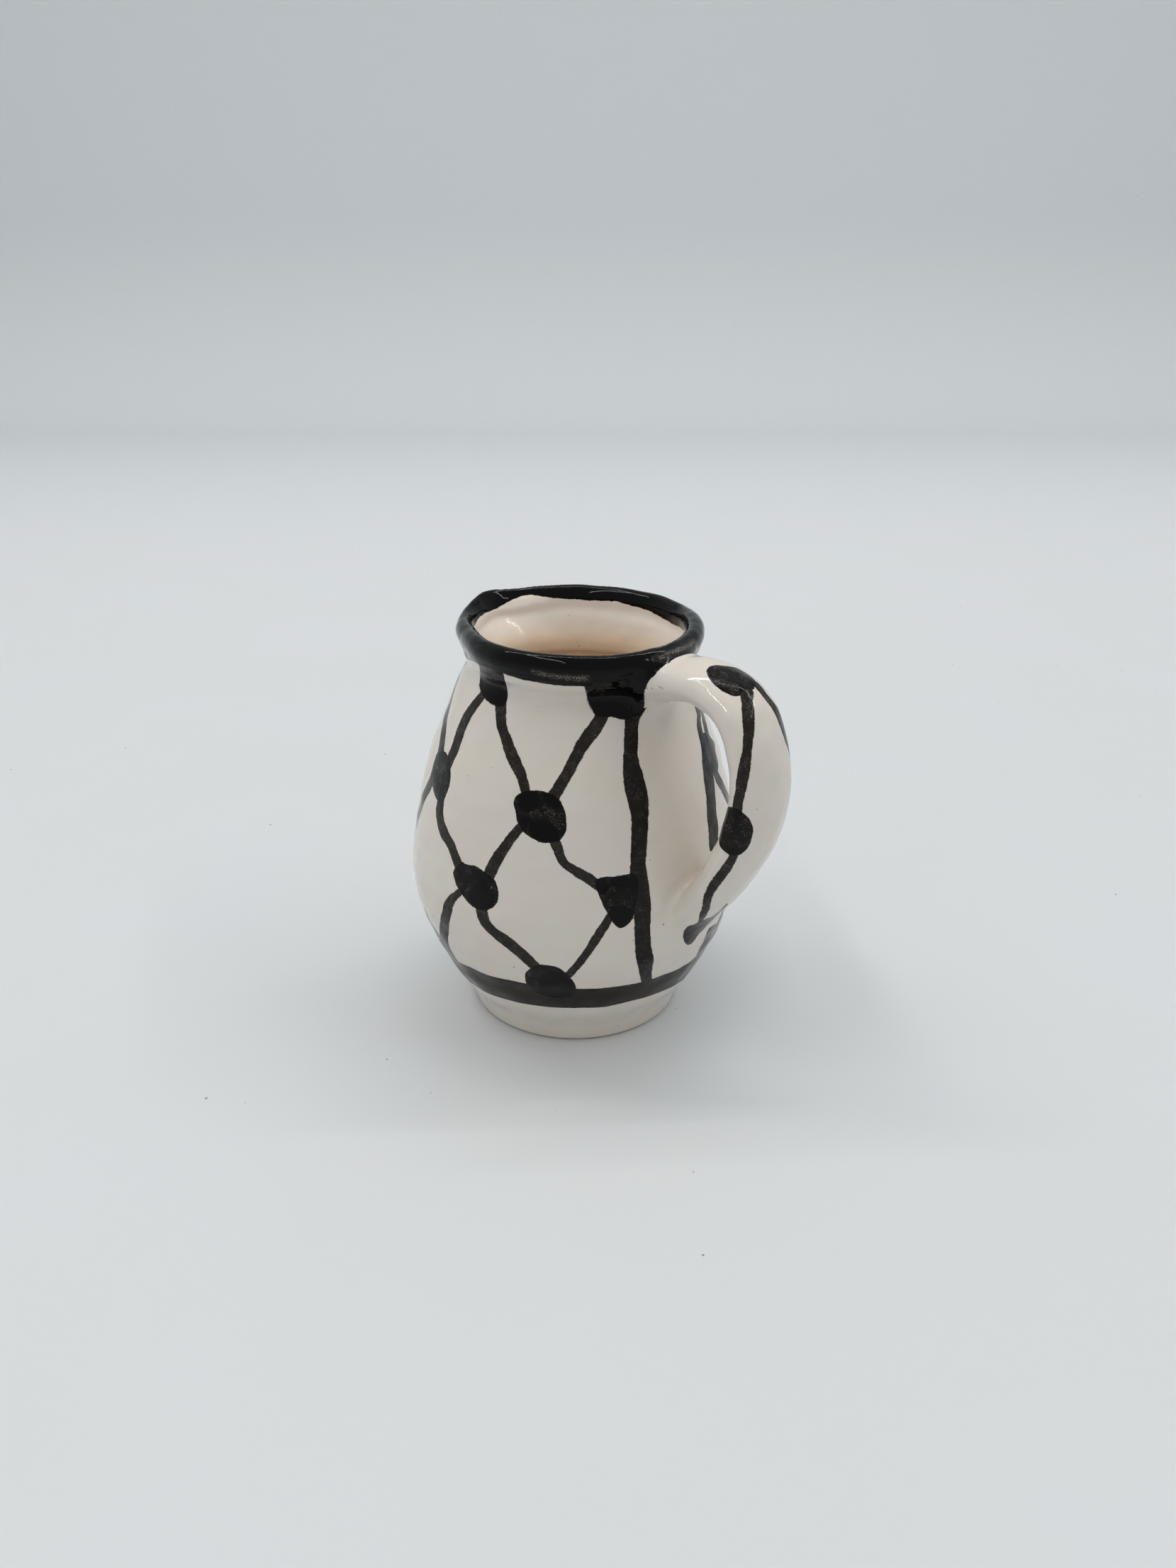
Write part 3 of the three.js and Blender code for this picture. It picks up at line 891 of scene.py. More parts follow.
# A fine crack in the glaze under the lip beside the handle, and the handle's two strokes, with their widths
CRACK = [(909, 969, 3), (916, 973, 2.2), (922, 971, 3), (929, 969, 2), (935, 972, 3)]
HANDLE_STROKES = [
    (6, [(1062, 962), (1079, 980), (1092, 997), (1103, 1020), (1110, 1042)]),
    (15, [
        (1052, 972), (1053, 984), (1055, 996), (1056, 1015), (1056, 1035), (1054, 1059),
        (1050, 1083), (1046, 1107), (1042, 1128), (1038, 1146),
    ]),
]

# The lattice goes on round the side that the photo doesn't show.
# Turns in degrees and heights of its dots:
UNSEEN_RIM = [(-145, 93.5), (-202, 93.0), (-258, 94.0), (-318, 93.0)]
UNSEEN_UPPER = [(-168, 70.0), (-221, 72.0), (-276, 70.5)]
UNSEEN_LOWER = [(-137, 48.0), (-195, 49.5), (-249, 47.0), (-303, 48.5)]
UNSEEN_LOW = [(-106, 21.0), (-166, 24.0), (-222, 23.0), (-277, 24.5)]
SEEN_LEFT_DOT = (-104.5, 70.6)
# Where strokes leave the photo's side: left at the top and foot, right at the top, middle and foot
SEEN_ENDS = [(647, 952), (603, 1292), (990, 1002), (1028, 1130), (1021, 1288)]
# Where a stroke goes on under the handle's foot
UNDER_HANDLE = (-340, 21)
UNSEEN_WIDTH = 2.3
UNSEEN_DOT = 5.4
# The half widths in millimetres that a seen stroke keeps between
HALF_LEAST, HALF_MOST = 0.6, 1.75


def turned_climb(turn, height):
    """The flat place of a turn in degrees and a height."""
    return np.array([math.radians(turn), np.interp(height, OUTSIDE[:, 1], CLIMB)])


def pixel_stroke(surface, into, width, pixels, flatten, step=5):
    """A brush stroke seen in the photo: its two edges are landed, so it keeps its seen width."""
    line = smooth_line(pixels, step)
    width = width * (1 + 0.12 * np.sin(np.arange(len(line)) * 0.37 + width))[:, None]
    along = np.gradient(line, axis=0)
    beside = np.column_stack([-along[:, 1], along[:, 0]]) / np.linalg.norm(along, axis=1)[:, None]
    middle, scale = flatten(line)
    left, _ = flatten(line + beside * width / 2)
    right, _ = flatten(line - beside * width / 2)
    half = np.linalg.norm(left - right, axis=1) * scale / 2
    surface.stroke(into, middle, np.clip(half, HALF_LEAST, HALF_MOST))


def pixel_patch(surface, into, pixels, flatten):
    """A shape seen in the photo, by its outline."""
    outline, _ = flatten(smooth_line(pixels, 4, closed=True))
    surface.patch(into, outline)


def between(top, foot):
    """A closed outline from two edges that run the same way."""
    return np.vstack([smooth_line(top, 3), smooth_line(foot, 3)[::-1]])


# About the jug's radius where the lattice is; the sway and bow of its strokes
MIDDLE_RADIUS = 38
SWAY = 0.5
BOW = 0.02


def brushed(rng, start, end, count=7):
    """A hand-drawn line between two flat places, that sways a little."""
    t = np.linspace(0, 1, count)[:, None]
    line = start + (end - start) * t
    across = np.array([start[1] - end[1], end[0] - start[0]])
    across /= np.linalg.norm(across)
    swing = rng.normal(0, SWAY / MIDDLE_RADIUS, count) * np.sin(np.linspace(0, math.pi, count))
    bow = BOW * math.copysign(1, end[0] - start[0]) * np.sin(np.linspace(0, 2 * math.pi, count))
    return smooth_line(line + across * (swing + bow)[:, None], 6)


def ragged_dot(rng, centre, size, scale, count=40):
    """A round dab with an uneven edge."""
    angle = np.linspace(0, 2 * math.pi, count, endpoint=False)
    radius = np.ones(count)
    for waves in (2, 3, 5):
        radius += rng.normal(0, 0.09 / waves**0.5) * np.cos(waves * angle + rng.uniform(0, 6.3))
    ring = np.column_stack([np.cos(angle), 1.1 * np.sin(angle)]) * (radius * size / scale)[:, None]
    return centre + ring


def unseen_lattice(surface, lines, dots, dabs):
    """The lattice on the side that the photo doesn't show, joined to the seen strokes at both sides."""
    rng = np.random.default_rng(7)
    seen, _ = land_on_jug(SEEN_ENDS)
    last_top, last_foot, last_low = seen[2:] - (2 * math.pi, 0)
    rows = (UNSEEN_RIM, [SEEN_LEFT_DOT] + UNSEEN_UPPER, UNSEEN_LOWER, UNSEEN_LOW)
    rim, upper, lower, low = ([turned_climb(*p) for p in row] for row in rows)
    low.append(last_low)
    pairs = [(rim[0], seen[0]), (lower[0], seen[1]), (last_low, turned_climb(*UNDER_HANDLE))]
    for k, dot in enumerate(rim):
        pairs += [(dot, (upper + [last_top])[k + 1])]
        pairs += [(dot, upper[k])] if k else []
    for k, dot in enumerate(lower):
        pairs += [((upper + [last_foot])[k + 1], dot)]
        pairs += [(upper[k], dot)] if k else []
        pairs += [(dot, low[k + 1])]
        pairs += [(dot, low[k])] if k else []
    for start, end in pairs:
        line = brushed(rng, start, end)
        width = UNSEEN_WIDTH / 2 * (1 + 0.25 * np.sin(np.linspace(0, rng.uniform(6, 14), len(line))))
        surface.stroke(lines, line, width)
    for row, size in ((rim, 1.0), (upper[1:], 1.1), (lower, 1.0), (low[1:-1], 0.9)):
        for centre in row:
            scale = float(np.interp(centre[1], CLIMB, OUTSIDE[:, 0]))
            surface.patch(dots, ragged_dot(rng, centre, UNSEEN_DOT * size, scale))
            aside = centre + rng.normal(0, 1.4, 2) / scale
            surface.patch(dabs, ragged_dot(rng, aside, UNSEEN_DOT * 0.55 * size, scale))


def height_round(pixels, fill):
    """A climb for each turn, from an edge seen in the photo, elsewhere the given one with some sway."""
    flat, _ = land_on_jug(smooth_line(pixels, 4))
    order = np.argsort(flat[:, 0])
    turn, climb = flat[order].T
    around = np.linspace(-math.pi, math.pi, 361)
    sway = fill + 0.012 * np.sin(2 * around + 1)
    sway = sway + 0.009 * np.sin(5 * around) + 0.006 * np.sin(9 * around + 2)
    seen = np.interp(around, turn, climb)
    edge = np.minimum(around - turn[0], turn[-1] - around)
    return around, mix(sway, seen, smoothstep(edge, -0.25, 0.0))


# Paint placed by the photo's pixels ends where the skin has turned this far edge-on,
# at a soft edge of so many millimetres for a whole turn
EDGE_ON = 0.05
EDGE_ON_FADE = 12
# The outer skin ends on the lip's crest, and paint lies on the clay within this distance of its form
CREST = 104.0
ON_CLAY = 1.7
# Where the black ends inside the mouth, and between which turns the photo shows that edge
INNER_BLACK = 99.8
INNER_SHOWN = [(34, 46), (-238, -226)]
# Climbs of the band's two edges and of the lip's foot, where the photo doesn't show them
BAND_CLIMBS = (0.62, 0.42)
LIP_FOOT_CLIMB = 2.68
# The roll is black all round from these heights up
ROLL_BLACK = (101.5, 102.5)
# Where the lip's paint is taken from the photo: above this height, and short of the handle's back
LIP_PAINT_ABOVE = 78
LIP_PAINT_SHORT = 36
# Where the paint round the handle's foot is: from this height and this far out, the drop and the stroke on
# the near side and below their own heights, and the belly's edge beyond
FOOT_PAINT_ABOVE = 14
FOOT_PAINT_OUT = 20
NEAR_SIDE = 5
FAR_SIDE = 4
DROP_BELOW, STROKE_BELOW, EDGE_BELOW = 62, 75, 34
COATS = ("lines", "dots", "dabs", "broad", "band", "lip", "dry", "crack")


class Paint:
    """For points of the skin, millimetres to the edge of each coat of paint, negative inside."""

    def __init__(self, points, normals):
        flat, scale = on_jug(points)
        self.pixels, self.pixel_size = pixels_of(points)
        towards = EYE - points
        facing = (normals * towards).sum(1) / np.linalg.norm(towards, axis=1)
        self.edge_on = (EDGE_ON - facing) * EDGE_ON_FADE
        self.radius, self.height = unpinched(points)
        self.outward = self.radius - middle_radius(self.height)
        self.strap = np.full(len(points), AWAY_FROM_ALL)
        near = by_handle(points)
        self.strap[near] = strap_distance(points[near])
        self.jug = jug_distance(points)
        outer = (self.outward > 0) & (self.height < CREST)
        strap_flat, one = on_strap(points)
        self.jug_side = Surface(flat, scale, outer & (self.jug < ON_CLAY), True)
        self.strap_side = Surface(strap_flat, one, outer & (self.strap < ON_CLAY), False)
        # Painted light inside the mouth: a half just inside it, and painted warm bounce light, most in the
        # neck, less again down in the belly
        painted_bounce = smoothstep(-self.height, -100.5, -88.0)
        painted_bounce = painted_bounce * (1 - 0.65 * smoothstep(-self.height, -74.0, -50.0))
        self.inside = (self.outward < 0) * (0.5 + 0.5 * painted_bounce)
        for name in COATS:
            setattr(self, name, np.full(len(points), FAR))
        self.draw_lattice()
        self.draw_handle(outer, points)
        self.draw_hidden_handle()
        self.draw_band(flat, scale, outer)
        self.draw_lip(flat, scale, outer, points)

    def shown_near(self, shape, margin, where):
        """Which points the photo shows within some pixels of a shape, and face the camera."""
        low, high = shape.min(0) - margin, shape.max(0) + margin
        return where & (self.edge_on < FAR) & ((self.pixels > low) & (self.pixels < high)).all(1)

    def shown_patch(self, into, outline, where):
        """A patch by its outline in the photo, for the points there that face the camera."""
        shape = smooth_line(outline, 4, closed=True)
        close = self.shown_near(shape, 20, where)
        found = outline_distance(self.pixels[close], shape) * self.pixel_size[close]
        into[close] = np.minimum(into[close], np.maximum(found, self.edge_on[close]))

    def shown_stroke(self, into, line, where):
        """A stroke by its places and widths in the photo, for the points there that face the camera."""
        line = smooth_line(line, 4)
        close = self.shown_near(line[:, :2], 30, where)
        whole = Surface(self.pixels[close], self.pixel_size[close], np.ones(close.sum(), bool), False)
        found = np.full(close.sum(), FAR)
        whole.stroke(found, line[:, :2], line[:, 2] / 2 * self.pixel_size[close].mean())
        into[close] = np.minimum(into[close], np.maximum(found, self.edge_on[close]))

    def draw_lattice(self):
        jug = self.jug_side
        for width, pixels in STROKES:
            pixel_stroke(jug, self.lines, width, pixels, land_on_jug)
        for into, outlines in ((self.dots, DOTS), (self.dabs, DABS)):
            for outline in outlines.values():
                pixel_patch(jug, into, outline, land_on_jug)
        for left, right in ((BESIDE_LEFT, BESIDE_RIGHT), (BEYOND_LEFT, BEYOND_RIGHT)):
            outline, _ = land_on_jug(between(left, right))
            jug.patch(self.broad, outline)
        # The stroke beyond the handle goes on where the handle hides it
        ends, _ = land_on_jug(BEYOND_ENDS)
        above = [turned_climb(*p) for p in BEYOND_ABOVE] + [ends[0]]
        below = [ends[1]] + [turned_climb(*p) for p in BEYOND_BETWEEN]
        below += [ends[2], turned_climb(*BEYOND_BELOW)]
        for line, wide in zip((above, below), BEYOND_HALVES):
            line = smooth_line(line, 10)
            halves = wide * (1 + 0.1 * np.sin(0.6 * np.arange(len(line))))
            jug.stroke(self.broad, line, halves)
        unseen_lattice(jug, self.lines, self.dots, self.dabs)

    def draw_handle(self, outer, points):
        strap = self.strap_side
        for width, pixels in HANDLE_STROKES:
            pixel_stroke(strap, self.lines, width, pixels, land_on_strap)
        for outline in (HANDLE_TOP_DOT, HANDLE_LEFT_DOT):
            pixel_patch(strap, self.dots, outline, land_on_strap)
        # Round the handle's foot the photo's paint lies partly on the strap and partly on the wall
        x, y, z = points.T
        by_foot = outer & (z > FOOT_PAINT_ABOVE) & (x > FOOT_PAINT_OUT)
        near = by_foot & (y < NEAR_SIDE)
        self.shown_patch(self.dots, HANDLE_LOW_DOT, near & (z < DROP_BELOW))
        self.shown_stroke(self.lines, HANDLE_END_STROKE, near & (z < STROKE_BELOW) & (self.strap < 2))
        self.shown_patch(self.broad, RIGHT_EDGE, by_foot & (y > FAR_SIDE) & (z < EDGE_BELOW))

    def draw_hidden_handle(self):
        """The handle's far side, which mirrors the near one."""
        rng = np.random.default_rng(11)
        strap = self.strap_side
        left, _ = land_on_strap(HANDLE_LEFT_DOT)
        (start, middle, low), _ = land_on_strap([(1064, 964), (1110, 1042), (985, 1306)])
        along, around = left.mean(0)
        far = np.array([along - 1.5, -around - math.copysign(3.0, around)])
        end = np.array([low[0] + 1.0, 1.5])
        first = [start, middle, (middle + far) / 2 + (0, 0.8), far]
        second = [far, (far + end) / 2 + (0, 1.2), end]
        for line in (first, second):
            line = smooth_line(line, 8)
            strap.stroke(self.lines, line, np.full(len(line), 1.2))
        strap.patch(self.dots, ragged_dot(rng, far, 5.0, 1.0))
        strap.patch(self.dabs, ragged_dot(rng, far, 3.0, 1.0))

    def draw_band(self, flat, scale, outer):
        edges = [height_round(*edge) for edge in zip((BAND_TOP, BAND_FOOT), BAND_CLIMBS)]
        high, low = (np.interp(flat[:, 0], around, climb) for around, climb in edges)
        band = np.maximum(flat[:, 1] - high, low - flat[:, 1]) * scale
        self.band = np.where(outer & (self.strap > 0), band, FAR)

    def draw_lip(self, flat, scale, outer, points):
        around, under = height_round(LIP_FOOT, LIP_FOOT_CLIMB)
        edge = (np.interp(flat[:, 0], around, under) - flat[:, 1]) * scale
        beside_strap = (self.jug - self.strap) / 2 + 0.2
        edge = np.where(self.strap < 6, np.maximum(edge, beside_strap), edge)
        self.lip = np.where(outer, edge, FAR)
        near_side = (points @ AWAY < 0) & (points[:, 2] > LIP_PAINT_ABOVE)
        self.shown_stroke(self.crack, CRACK, near_side)
        near_side &= points[:, 0] < LIP_PAINT_SHORT
        self.shown_patch(self.lip, LIP_BY_HANDLE, near_side)
        for outline in DRY:
            self.shown_patch(self.dry, outline, near_side)
        over = smoothstep(self.height, *ROLL_BLACK) * (self.strap > self.jug)
        self.lip = mix(self.lip, np.minimum(self.lip, -2.0), over)
        self.lip = np.where(self.outward > 0, self.lip, self.inner_lip(flat))

    def inner_lip(self, flat):
        """How far a point inside the mouth is below the black, by its pixels where the photo shows it."""
        line = smooth_line(LIP_INSIDE, 4)
        around = flat[:, 0] % (2 * math.pi)
        plain = INNER_BLACK + 0.5 * np.sin(3 * around) + 0.4 * np.sin(7 * around + 1) - self.height
        across, down = self.pixels.T
        shown = (down - np.interp(across, line[:, 0], line[:, 1])) * self.pixel_size
        edge = np.minimum(across - line[0, 0], line[-1, 0] - across)
        start, end = np.radians(INNER_SHOWN)
        far_side = smoothstep(around, *start) * smoothstep(-around, *end)
        return mix(plain, np.clip(shown, -FAR, FAR), smoothstep(edge, -6, 0) * far_side)


# Pieces: one for each clay piece of the frame, cut from one skin, so that the glaze runs on without a seam

PIECES = [
    ("wall_skin", "body", "cream_glaze"),
    ("foot_skin", "foot_ring", "cream_glaze"),
    ("lip_skin", "rim_roll", "dark_glaze"),
    ("handle_skin", "handle", "cream_glaze"),
    ("upper_joint_skin", "upper_handle_luting", "cream_glaze"),
    ("lower_joint_skin", "lower_handle_luting", "cream_glaze"),
]
WALL_SKIN, FOOT_SKIN, LIP_SKIN, HANDLE_SKIN, UPPER_JOINT, LOWER_JOINT = range(len(PIECES))
LIP_FROM = 98.9
# The joints' clay: how far it reaches to each side of the crease, and the height between the two joints
JOINT_REACH = 1.4
JOINT_WIDEST = 3
JOINTS_PART = 70
# The foot ring also takes this much of the recess's edge
RECESS_EDGE = 0.2
RECESS_DOWN = 0.4


def owners(paint, points):
    """Which piece each point belongs to."""
    owner = np.full(len(points), WALL_SKIN)
    ring = paint.radius > FOOT_RADIUS - FOOT_LAND - FOOT_LEAN - RECESS_EDGE
    ring |= paint.height < FOOT_HEIGHT - RECESS_DOWN
    owner[ring & (paint.height < FOOT_HEIGHT + JOINT / 2)] = FOOT_SKIN
    owner[paint.height > LIP_FROM] = LIP_SKIN
    outer = paint.outward > 0
    owner[outer & (paint.strap < paint.jug - JOINT_REACH)] = HANDLE_SKIN
    joint = outer & (np.abs(paint.strap - paint.jug) <= JOINT_REACH) & (paint.strap < JOINT_WIDEST)
    owner[joint & (points[:, 2] > JOINTS_PART)] = UPPER_JOINT
    owner[joint & (points[:, 2] <= JOINTS_PART)] = LOWER_JOINT
    return owner


def face_pairs(quads):
    """The two ends of each edge, in the order of the first face beside it, and both faces beside it."""
    start, end = quads.ravel(), np.roll(quads, -1, axis=1).ravel()
    face = np.repeat(np.arange(len(quads)), 4)
    order = np.lexsort((np.maximum(start, end), np.minimum(start, end)))
    first, second = order[0::2], order[1::2]
    return start[first], end[first], face[first], face[second]


def untangle(owner, quads, pairs):
    """Takes away places where two parts of one piece would touch in a single point."""
    start, end, first, second = pairs
    for _ in range(12):
        edge = owner[first] != owner[second]
        ends = np.r_[start[edge], end[edge], start[edge], end[edge]]
        pieces = np.r_[np.tile(owner[first][edge], 2), np.tile(owner[second][edge], 2)]
        found, count = np.unique(ends * len(PIECES) + pieces, return_counts=True)
        pinched = np.unique(found[count > 2] // len(PIECES))
        if not len(pinched):
            break
        for point in pinched:
            around = (quads == point).any(1)
            owner[around] = owner[around].min()
    return owner


def edge_loops(owner, index, pairs):
    """The closed edges of one piece, each as its points in the order of the faces beside it."""
    start, end, first, second = pairs
    ahead = (owner[first] == index) & (owner[second] != index)
    back = (owner[second] == index) & (owner[first] != index)
    follow = dict(zip(np.r_[start[ahead], end[back]].tolist(), np.r_[end[ahead], start[back]].tolist()))
    loops = []
    while follow:
        point = next(iter(follow))
        loop = []
        while point in follow:
            loop.append(point)
            point = follow.pop(point)
        loops.append(np.array(loop))
    return loops


def bridge(points, outer, inner):
    """Three-sided faces between two closed edges that both run round the jug's axis."""
    inner = inner[::-1]
    turns = [np.arctan2(points[loop, 1], points[loop, 0]) for loop in (outer, inner)]
    nearest = np.argmin(np.abs(np.angle(np.exp(1j * (turns[1] - turns[0][0])))))
    inner = np.roll(inner, -nearest)
    turns[1] = np.roll(turns[1], -nearest)
    runs = []
    for turn in turns:
        run = np.unwrap(np.r_[turn, turn[0]])
        runs.append((run - run[0]) * np.sign(run[-1] - run[0]))
    faces = []
    i = j = 0
    while i < len(outer) or j < len(inner):
        a, b = outer[i % len(outer)], inner[j % len(inner)]
        if j == len(inner) or (i < len(outer) and runs[0][i + 1] <= runs[1][j + 1]):
            i += 1
            faces.append((outer[i % len(outer)], a, b))
        else:
            j += 1
            faces.append((b, inner[j % len(inner)], a))
    return faces


# An edge that turns by more than this, in radians, runs round the jug's axis
NEARLY_ROUND = 5


def closing_faces(points, loops):
    """Hidden faces that close a piece where it meets others, and the middle points of the fans in them."""
    faces, middles, around = [], [], []
    for loop in loops:
        turn = np.unwrap(np.arctan2(points[loop, 1], points[loop, 0]))
        if abs(turn[-1] - turn[0]) > NEARLY_ROUND:
            around.append(loop)
            continue
        middle = len(points) + len(middles)
        middles.append(points[loop].mean(0))
        faces += [(b, a, middle) for a, b in zip(loop, np.roll(loop, -1))]
    around.sort(key=lambda loop: points[loop, 2].mean())
    for outer, inner in zip(around[0::2], around[1::2]):
        faces += bridge(points, outer, inner)
    return np.array(faces), np.array(middles).reshape(-1, 3)


def make_piece(name, points, quads, normals, values, loops, material):
    """One closed mesh: its share of the skin, shaded by the skin's own slope, and flat hidden faces."""
    closing, middles = closing_faces(points, loops)
    points = np.vstack([points, middles])
    used, places = np.unique(np.r_[quads.ravel(), closing.ravel()], return_inverse=True)
    skin_faces = places[: quads.size].reshape(quads.shape)
    hidden_faces = places[quads.size :].reshape(closing.shape)
    where = points[used] * MM + (AXIS_X, 0, 0)
    mesh = bpy.data.meshes.new(name)
    mesh.from_pydata(where.tolist(), [], skin_faces.tolist() + hidden_faces.tolist())
    mesh.polygons.foreach_set("use_smooth", np.arange(len(mesh.polygons)) < len(quads))
    for key, value in values.items():
        layer = mesh.attributes.new(key, "FLOAT", "POINT")
        value = np.r_[value, np.full(len(middles), FAR if key in COATS else 0.0)]
        layer.data.foreach_set("value", value[used].astype(np.float32))
    a, b, c = (points[closing[:, k]] for k in range(3))
    flat = np.cross(b - a, c - a)
    flat /= np.maximum(np.linalg.norm(flat, axis=1), 1e-9)[:, None]
    corners = np.vstack([normals[quads.ravel()], np.repeat(flat, 3, axis=0)])
    mesh.normals_split_custom_set(corners.tolist())
    mesh.materials.append(material)
    return add_object(name, mesh)


def crease_shade_share(paint, points):
    """How deep in the crease between handle and wall a point is, for the painted shade there."""
    z = points[:, 2]
    h = np.clip(0.5 + 0.5 * (paint.jug - paint.strap) / join_reach(z), 0, 1)
    felt = smoothstep(z, 36, 50) * smoothstep(-z, -68, -54)
    return (4 * h * (1 - h)) ** 2 * felt * (paint.outward > 0)


def make_jug():
    points, quads, normals = skin()
    a, b, c, d = (points[quads[:, k]] for k in range(4))
    if (np.cross(c - a, d - b) * normals[quads[:, 0]]).sum() < 0:
        quads = quads[:, ::-1]
    paint = Paint(points, normals)
    values = {name: getattr(paint, name) for name in COATS + ("inside",)}
    # How deep in the crease each point lies, for the painted shade there
    values["crease_shade"] = crease_shade_share(paint, points)
    pairs = face_pairs(quads)
    owner = untangle(owners(paint, points)[quads].max(1), quads, pairs)
    cream = glaze("cream_glaze_painted")
    dark = glaze("dark_glaze_lip")
    for index, (name, node, slot) in enumerate(PIECES):
        material = dark if slot == "dark_glaze" else cream
        loops = edge_loops(owner, index, pairs)
        piece = make_piece(name, points, quads[owner == index], normals, values, loops, material)
        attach(piece, "root")
        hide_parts(node)


# Materials


class Nodes:
    """Short ways to add shader nodes to a material, the world or a lamp."""

    def __init__(self, owner):
        self.owner = owner
        owner.use_nodes = True
        self.tree = owner.node_tree

    def add(self, kind, **settings):
        node = self.tree.nodes.new(kind)
        for key, value in settings.items():
            setattr(node, key, value)
        return node

    def link(self, source, target):
        self.tree.links.new(source, target)

    def fill(self, socket, value):
        """Gives a socket a number, or another node's output."""
        if hasattr(value, "is_linked"):
            self.link(value, socket)
        else:
            socket.default_value = value

    def result(self, node, *values):
        """A node's first output, once its first inputs are filled."""
        for socket, value in zip(node.inputs, values):
            self.fill(socket, value)
        return node.outputs[0]

    def math(self, operation, *values):
        return self.result(self.add("ShaderNodeMath", operation=operation), *values)

    def times(self, first, second):
        return self.math("MULTIPLY", first, second)

    def linear(self, value, slope, start):
        return self.math("MULTIPLY_ADD", value, slope, start)

    def ramp(self, value, low, high, first=0.0, last=1.0, soft=True):
        """Goes from first to last while the value goes from low to high."""
        node = self.add("ShaderNodeMapRange", interpolation_type="SMOOTHSTEP" if soft else "LINEAR")
        return self.result(node, value, low, high, first, last)

    def blend(self, share, first, second, kind="MIX"):
        """Mixes two colours. The node keeps its colour sockets after those for numbers and vectors."""
        node = self.add("ShaderNodeMix", data_type="RGBA", blend_type=kind)
        for place, value in ((0, share), (6, first), (7, second)):
            self.fill(node.inputs[place], value)
        return node.outputs[2]

    def parts(self, vector):
        node = self.add("ShaderNodeSeparateXYZ")
        self.link(vector, node.inputs[0])
        return node.outputs

    def along(self, vector, way):
        """How far a vector reaches along a fixed way."""
        node = self.add("ShaderNodeVectorMath", operation="DOT_PRODUCT")
        node.inputs[1].default_value = tuple(way)
        self.link(vector, node.inputs[0])
        return node.outputs["Value"]

    def noise(self, where, size, detail=2.0, rough=0.5, stretch=(1, 1, 1)):
        """Soft noise around a half, with features of about the given size in metres."""
        mapping = self.add("ShaderNodeMapping")
        mapping.inputs["Scale"].default_value = stretch
        self.link(where, mapping.inputs["Vector"])
        node = self.add("ShaderNodeTexNoise")
        self.link(mapping.outputs[0], node.inputs["Vector"])
        node.inputs["Scale"].default_value = 1 / size
        node.inputs["Detail"].default_value = detail
        node.inputs["Roughness"].default_value = rough
        return node.outputs[0]

    def specks(self, where, spacing, least, most, share):
        """Small round spots: their spacing and sizes in metres, and the share of places that have one."""
        node = self.add("ShaderNodeTexVoronoi")
        self.link(where, node.inputs["Vector"])
        node.inputs["Scale"].default_value = 1 / spacing
        parts = self.add("ShaderNodeSeparateColor")
        self.link(node.outputs["Color"], parts.inputs[0])
        size = self.ramp(parts.outputs[0], 1 - share, 1.0, least / spacing, most / spacing, soft=False)
        there = self.math("GREATER_THAN", parts.outputs[0], 1 - share)
        edge = self.math("SUBTRACT", size, node.outputs["Distance"])
        spot = self.ramp(edge, 0.0, 0.3 * most / spacing)
        return self.times(spot, there)

    def value(self, name):
        """A value that the mesh carries."""
        return self.add("ShaderNodeAttribute", attribute_name=name).outputs["Fac"]

    def bump(self, height, metres, normal=None):
        node = self.add("ShaderNodeBump")
        node.inputs["Distance"].default_value = metres
        self.link(height, node.inputs["Height"])
        if normal is not None:
            self.link(normal, node.inputs["Normal"])
        return node.outputs[0]


def new_material(name):
    """The nodes of a new material, its shader, and the object's own place."""
    n = Nodes(bpy.data.materials.new(name))
    n.tree.nodes.clear()
    shader = n.add("ShaderNodeBsdfPrincipled")
    n.link(shader.outputs[0], n.add("ShaderNodeOutputMaterial").inputs["Surface"])
    return n, shader, n.add("ShaderNodeTexCoord").outputs["Object"]


# Colours of the fired clay and its glaze, of the painted light and warm bounce inside the mouth and the tan
# painted shade in the crease, and how much of red, green and blue the ink takes away
CREAM = (0.705, 0.648, 0.585, 1)
CREAM_WARM = (0.69, 0.61, 0.51, 1)
# The mouth's cream is painted lighter, and its neck painted with the peach of warm bounce light
MOUTH_PAINTED_LIGHT = (0.96, 0.875, 0.785, 1)
PAINTED_BOUNCE_PEACH = (0.79, 0.6, 0.42, 1)
# A tan painted shade that darkens the crease where the handle meets the wall
CREASE_SHADE_TAN = (0.66, 0.38, 0.19, 1)
SPECK = (0.16, 0.09, 0.05, 1)
RAW_CLAY = (0.5, 0.4, 0.3, 1)
INK = (3.35, 3.5, 3.6)
INK_MOST = 2.4


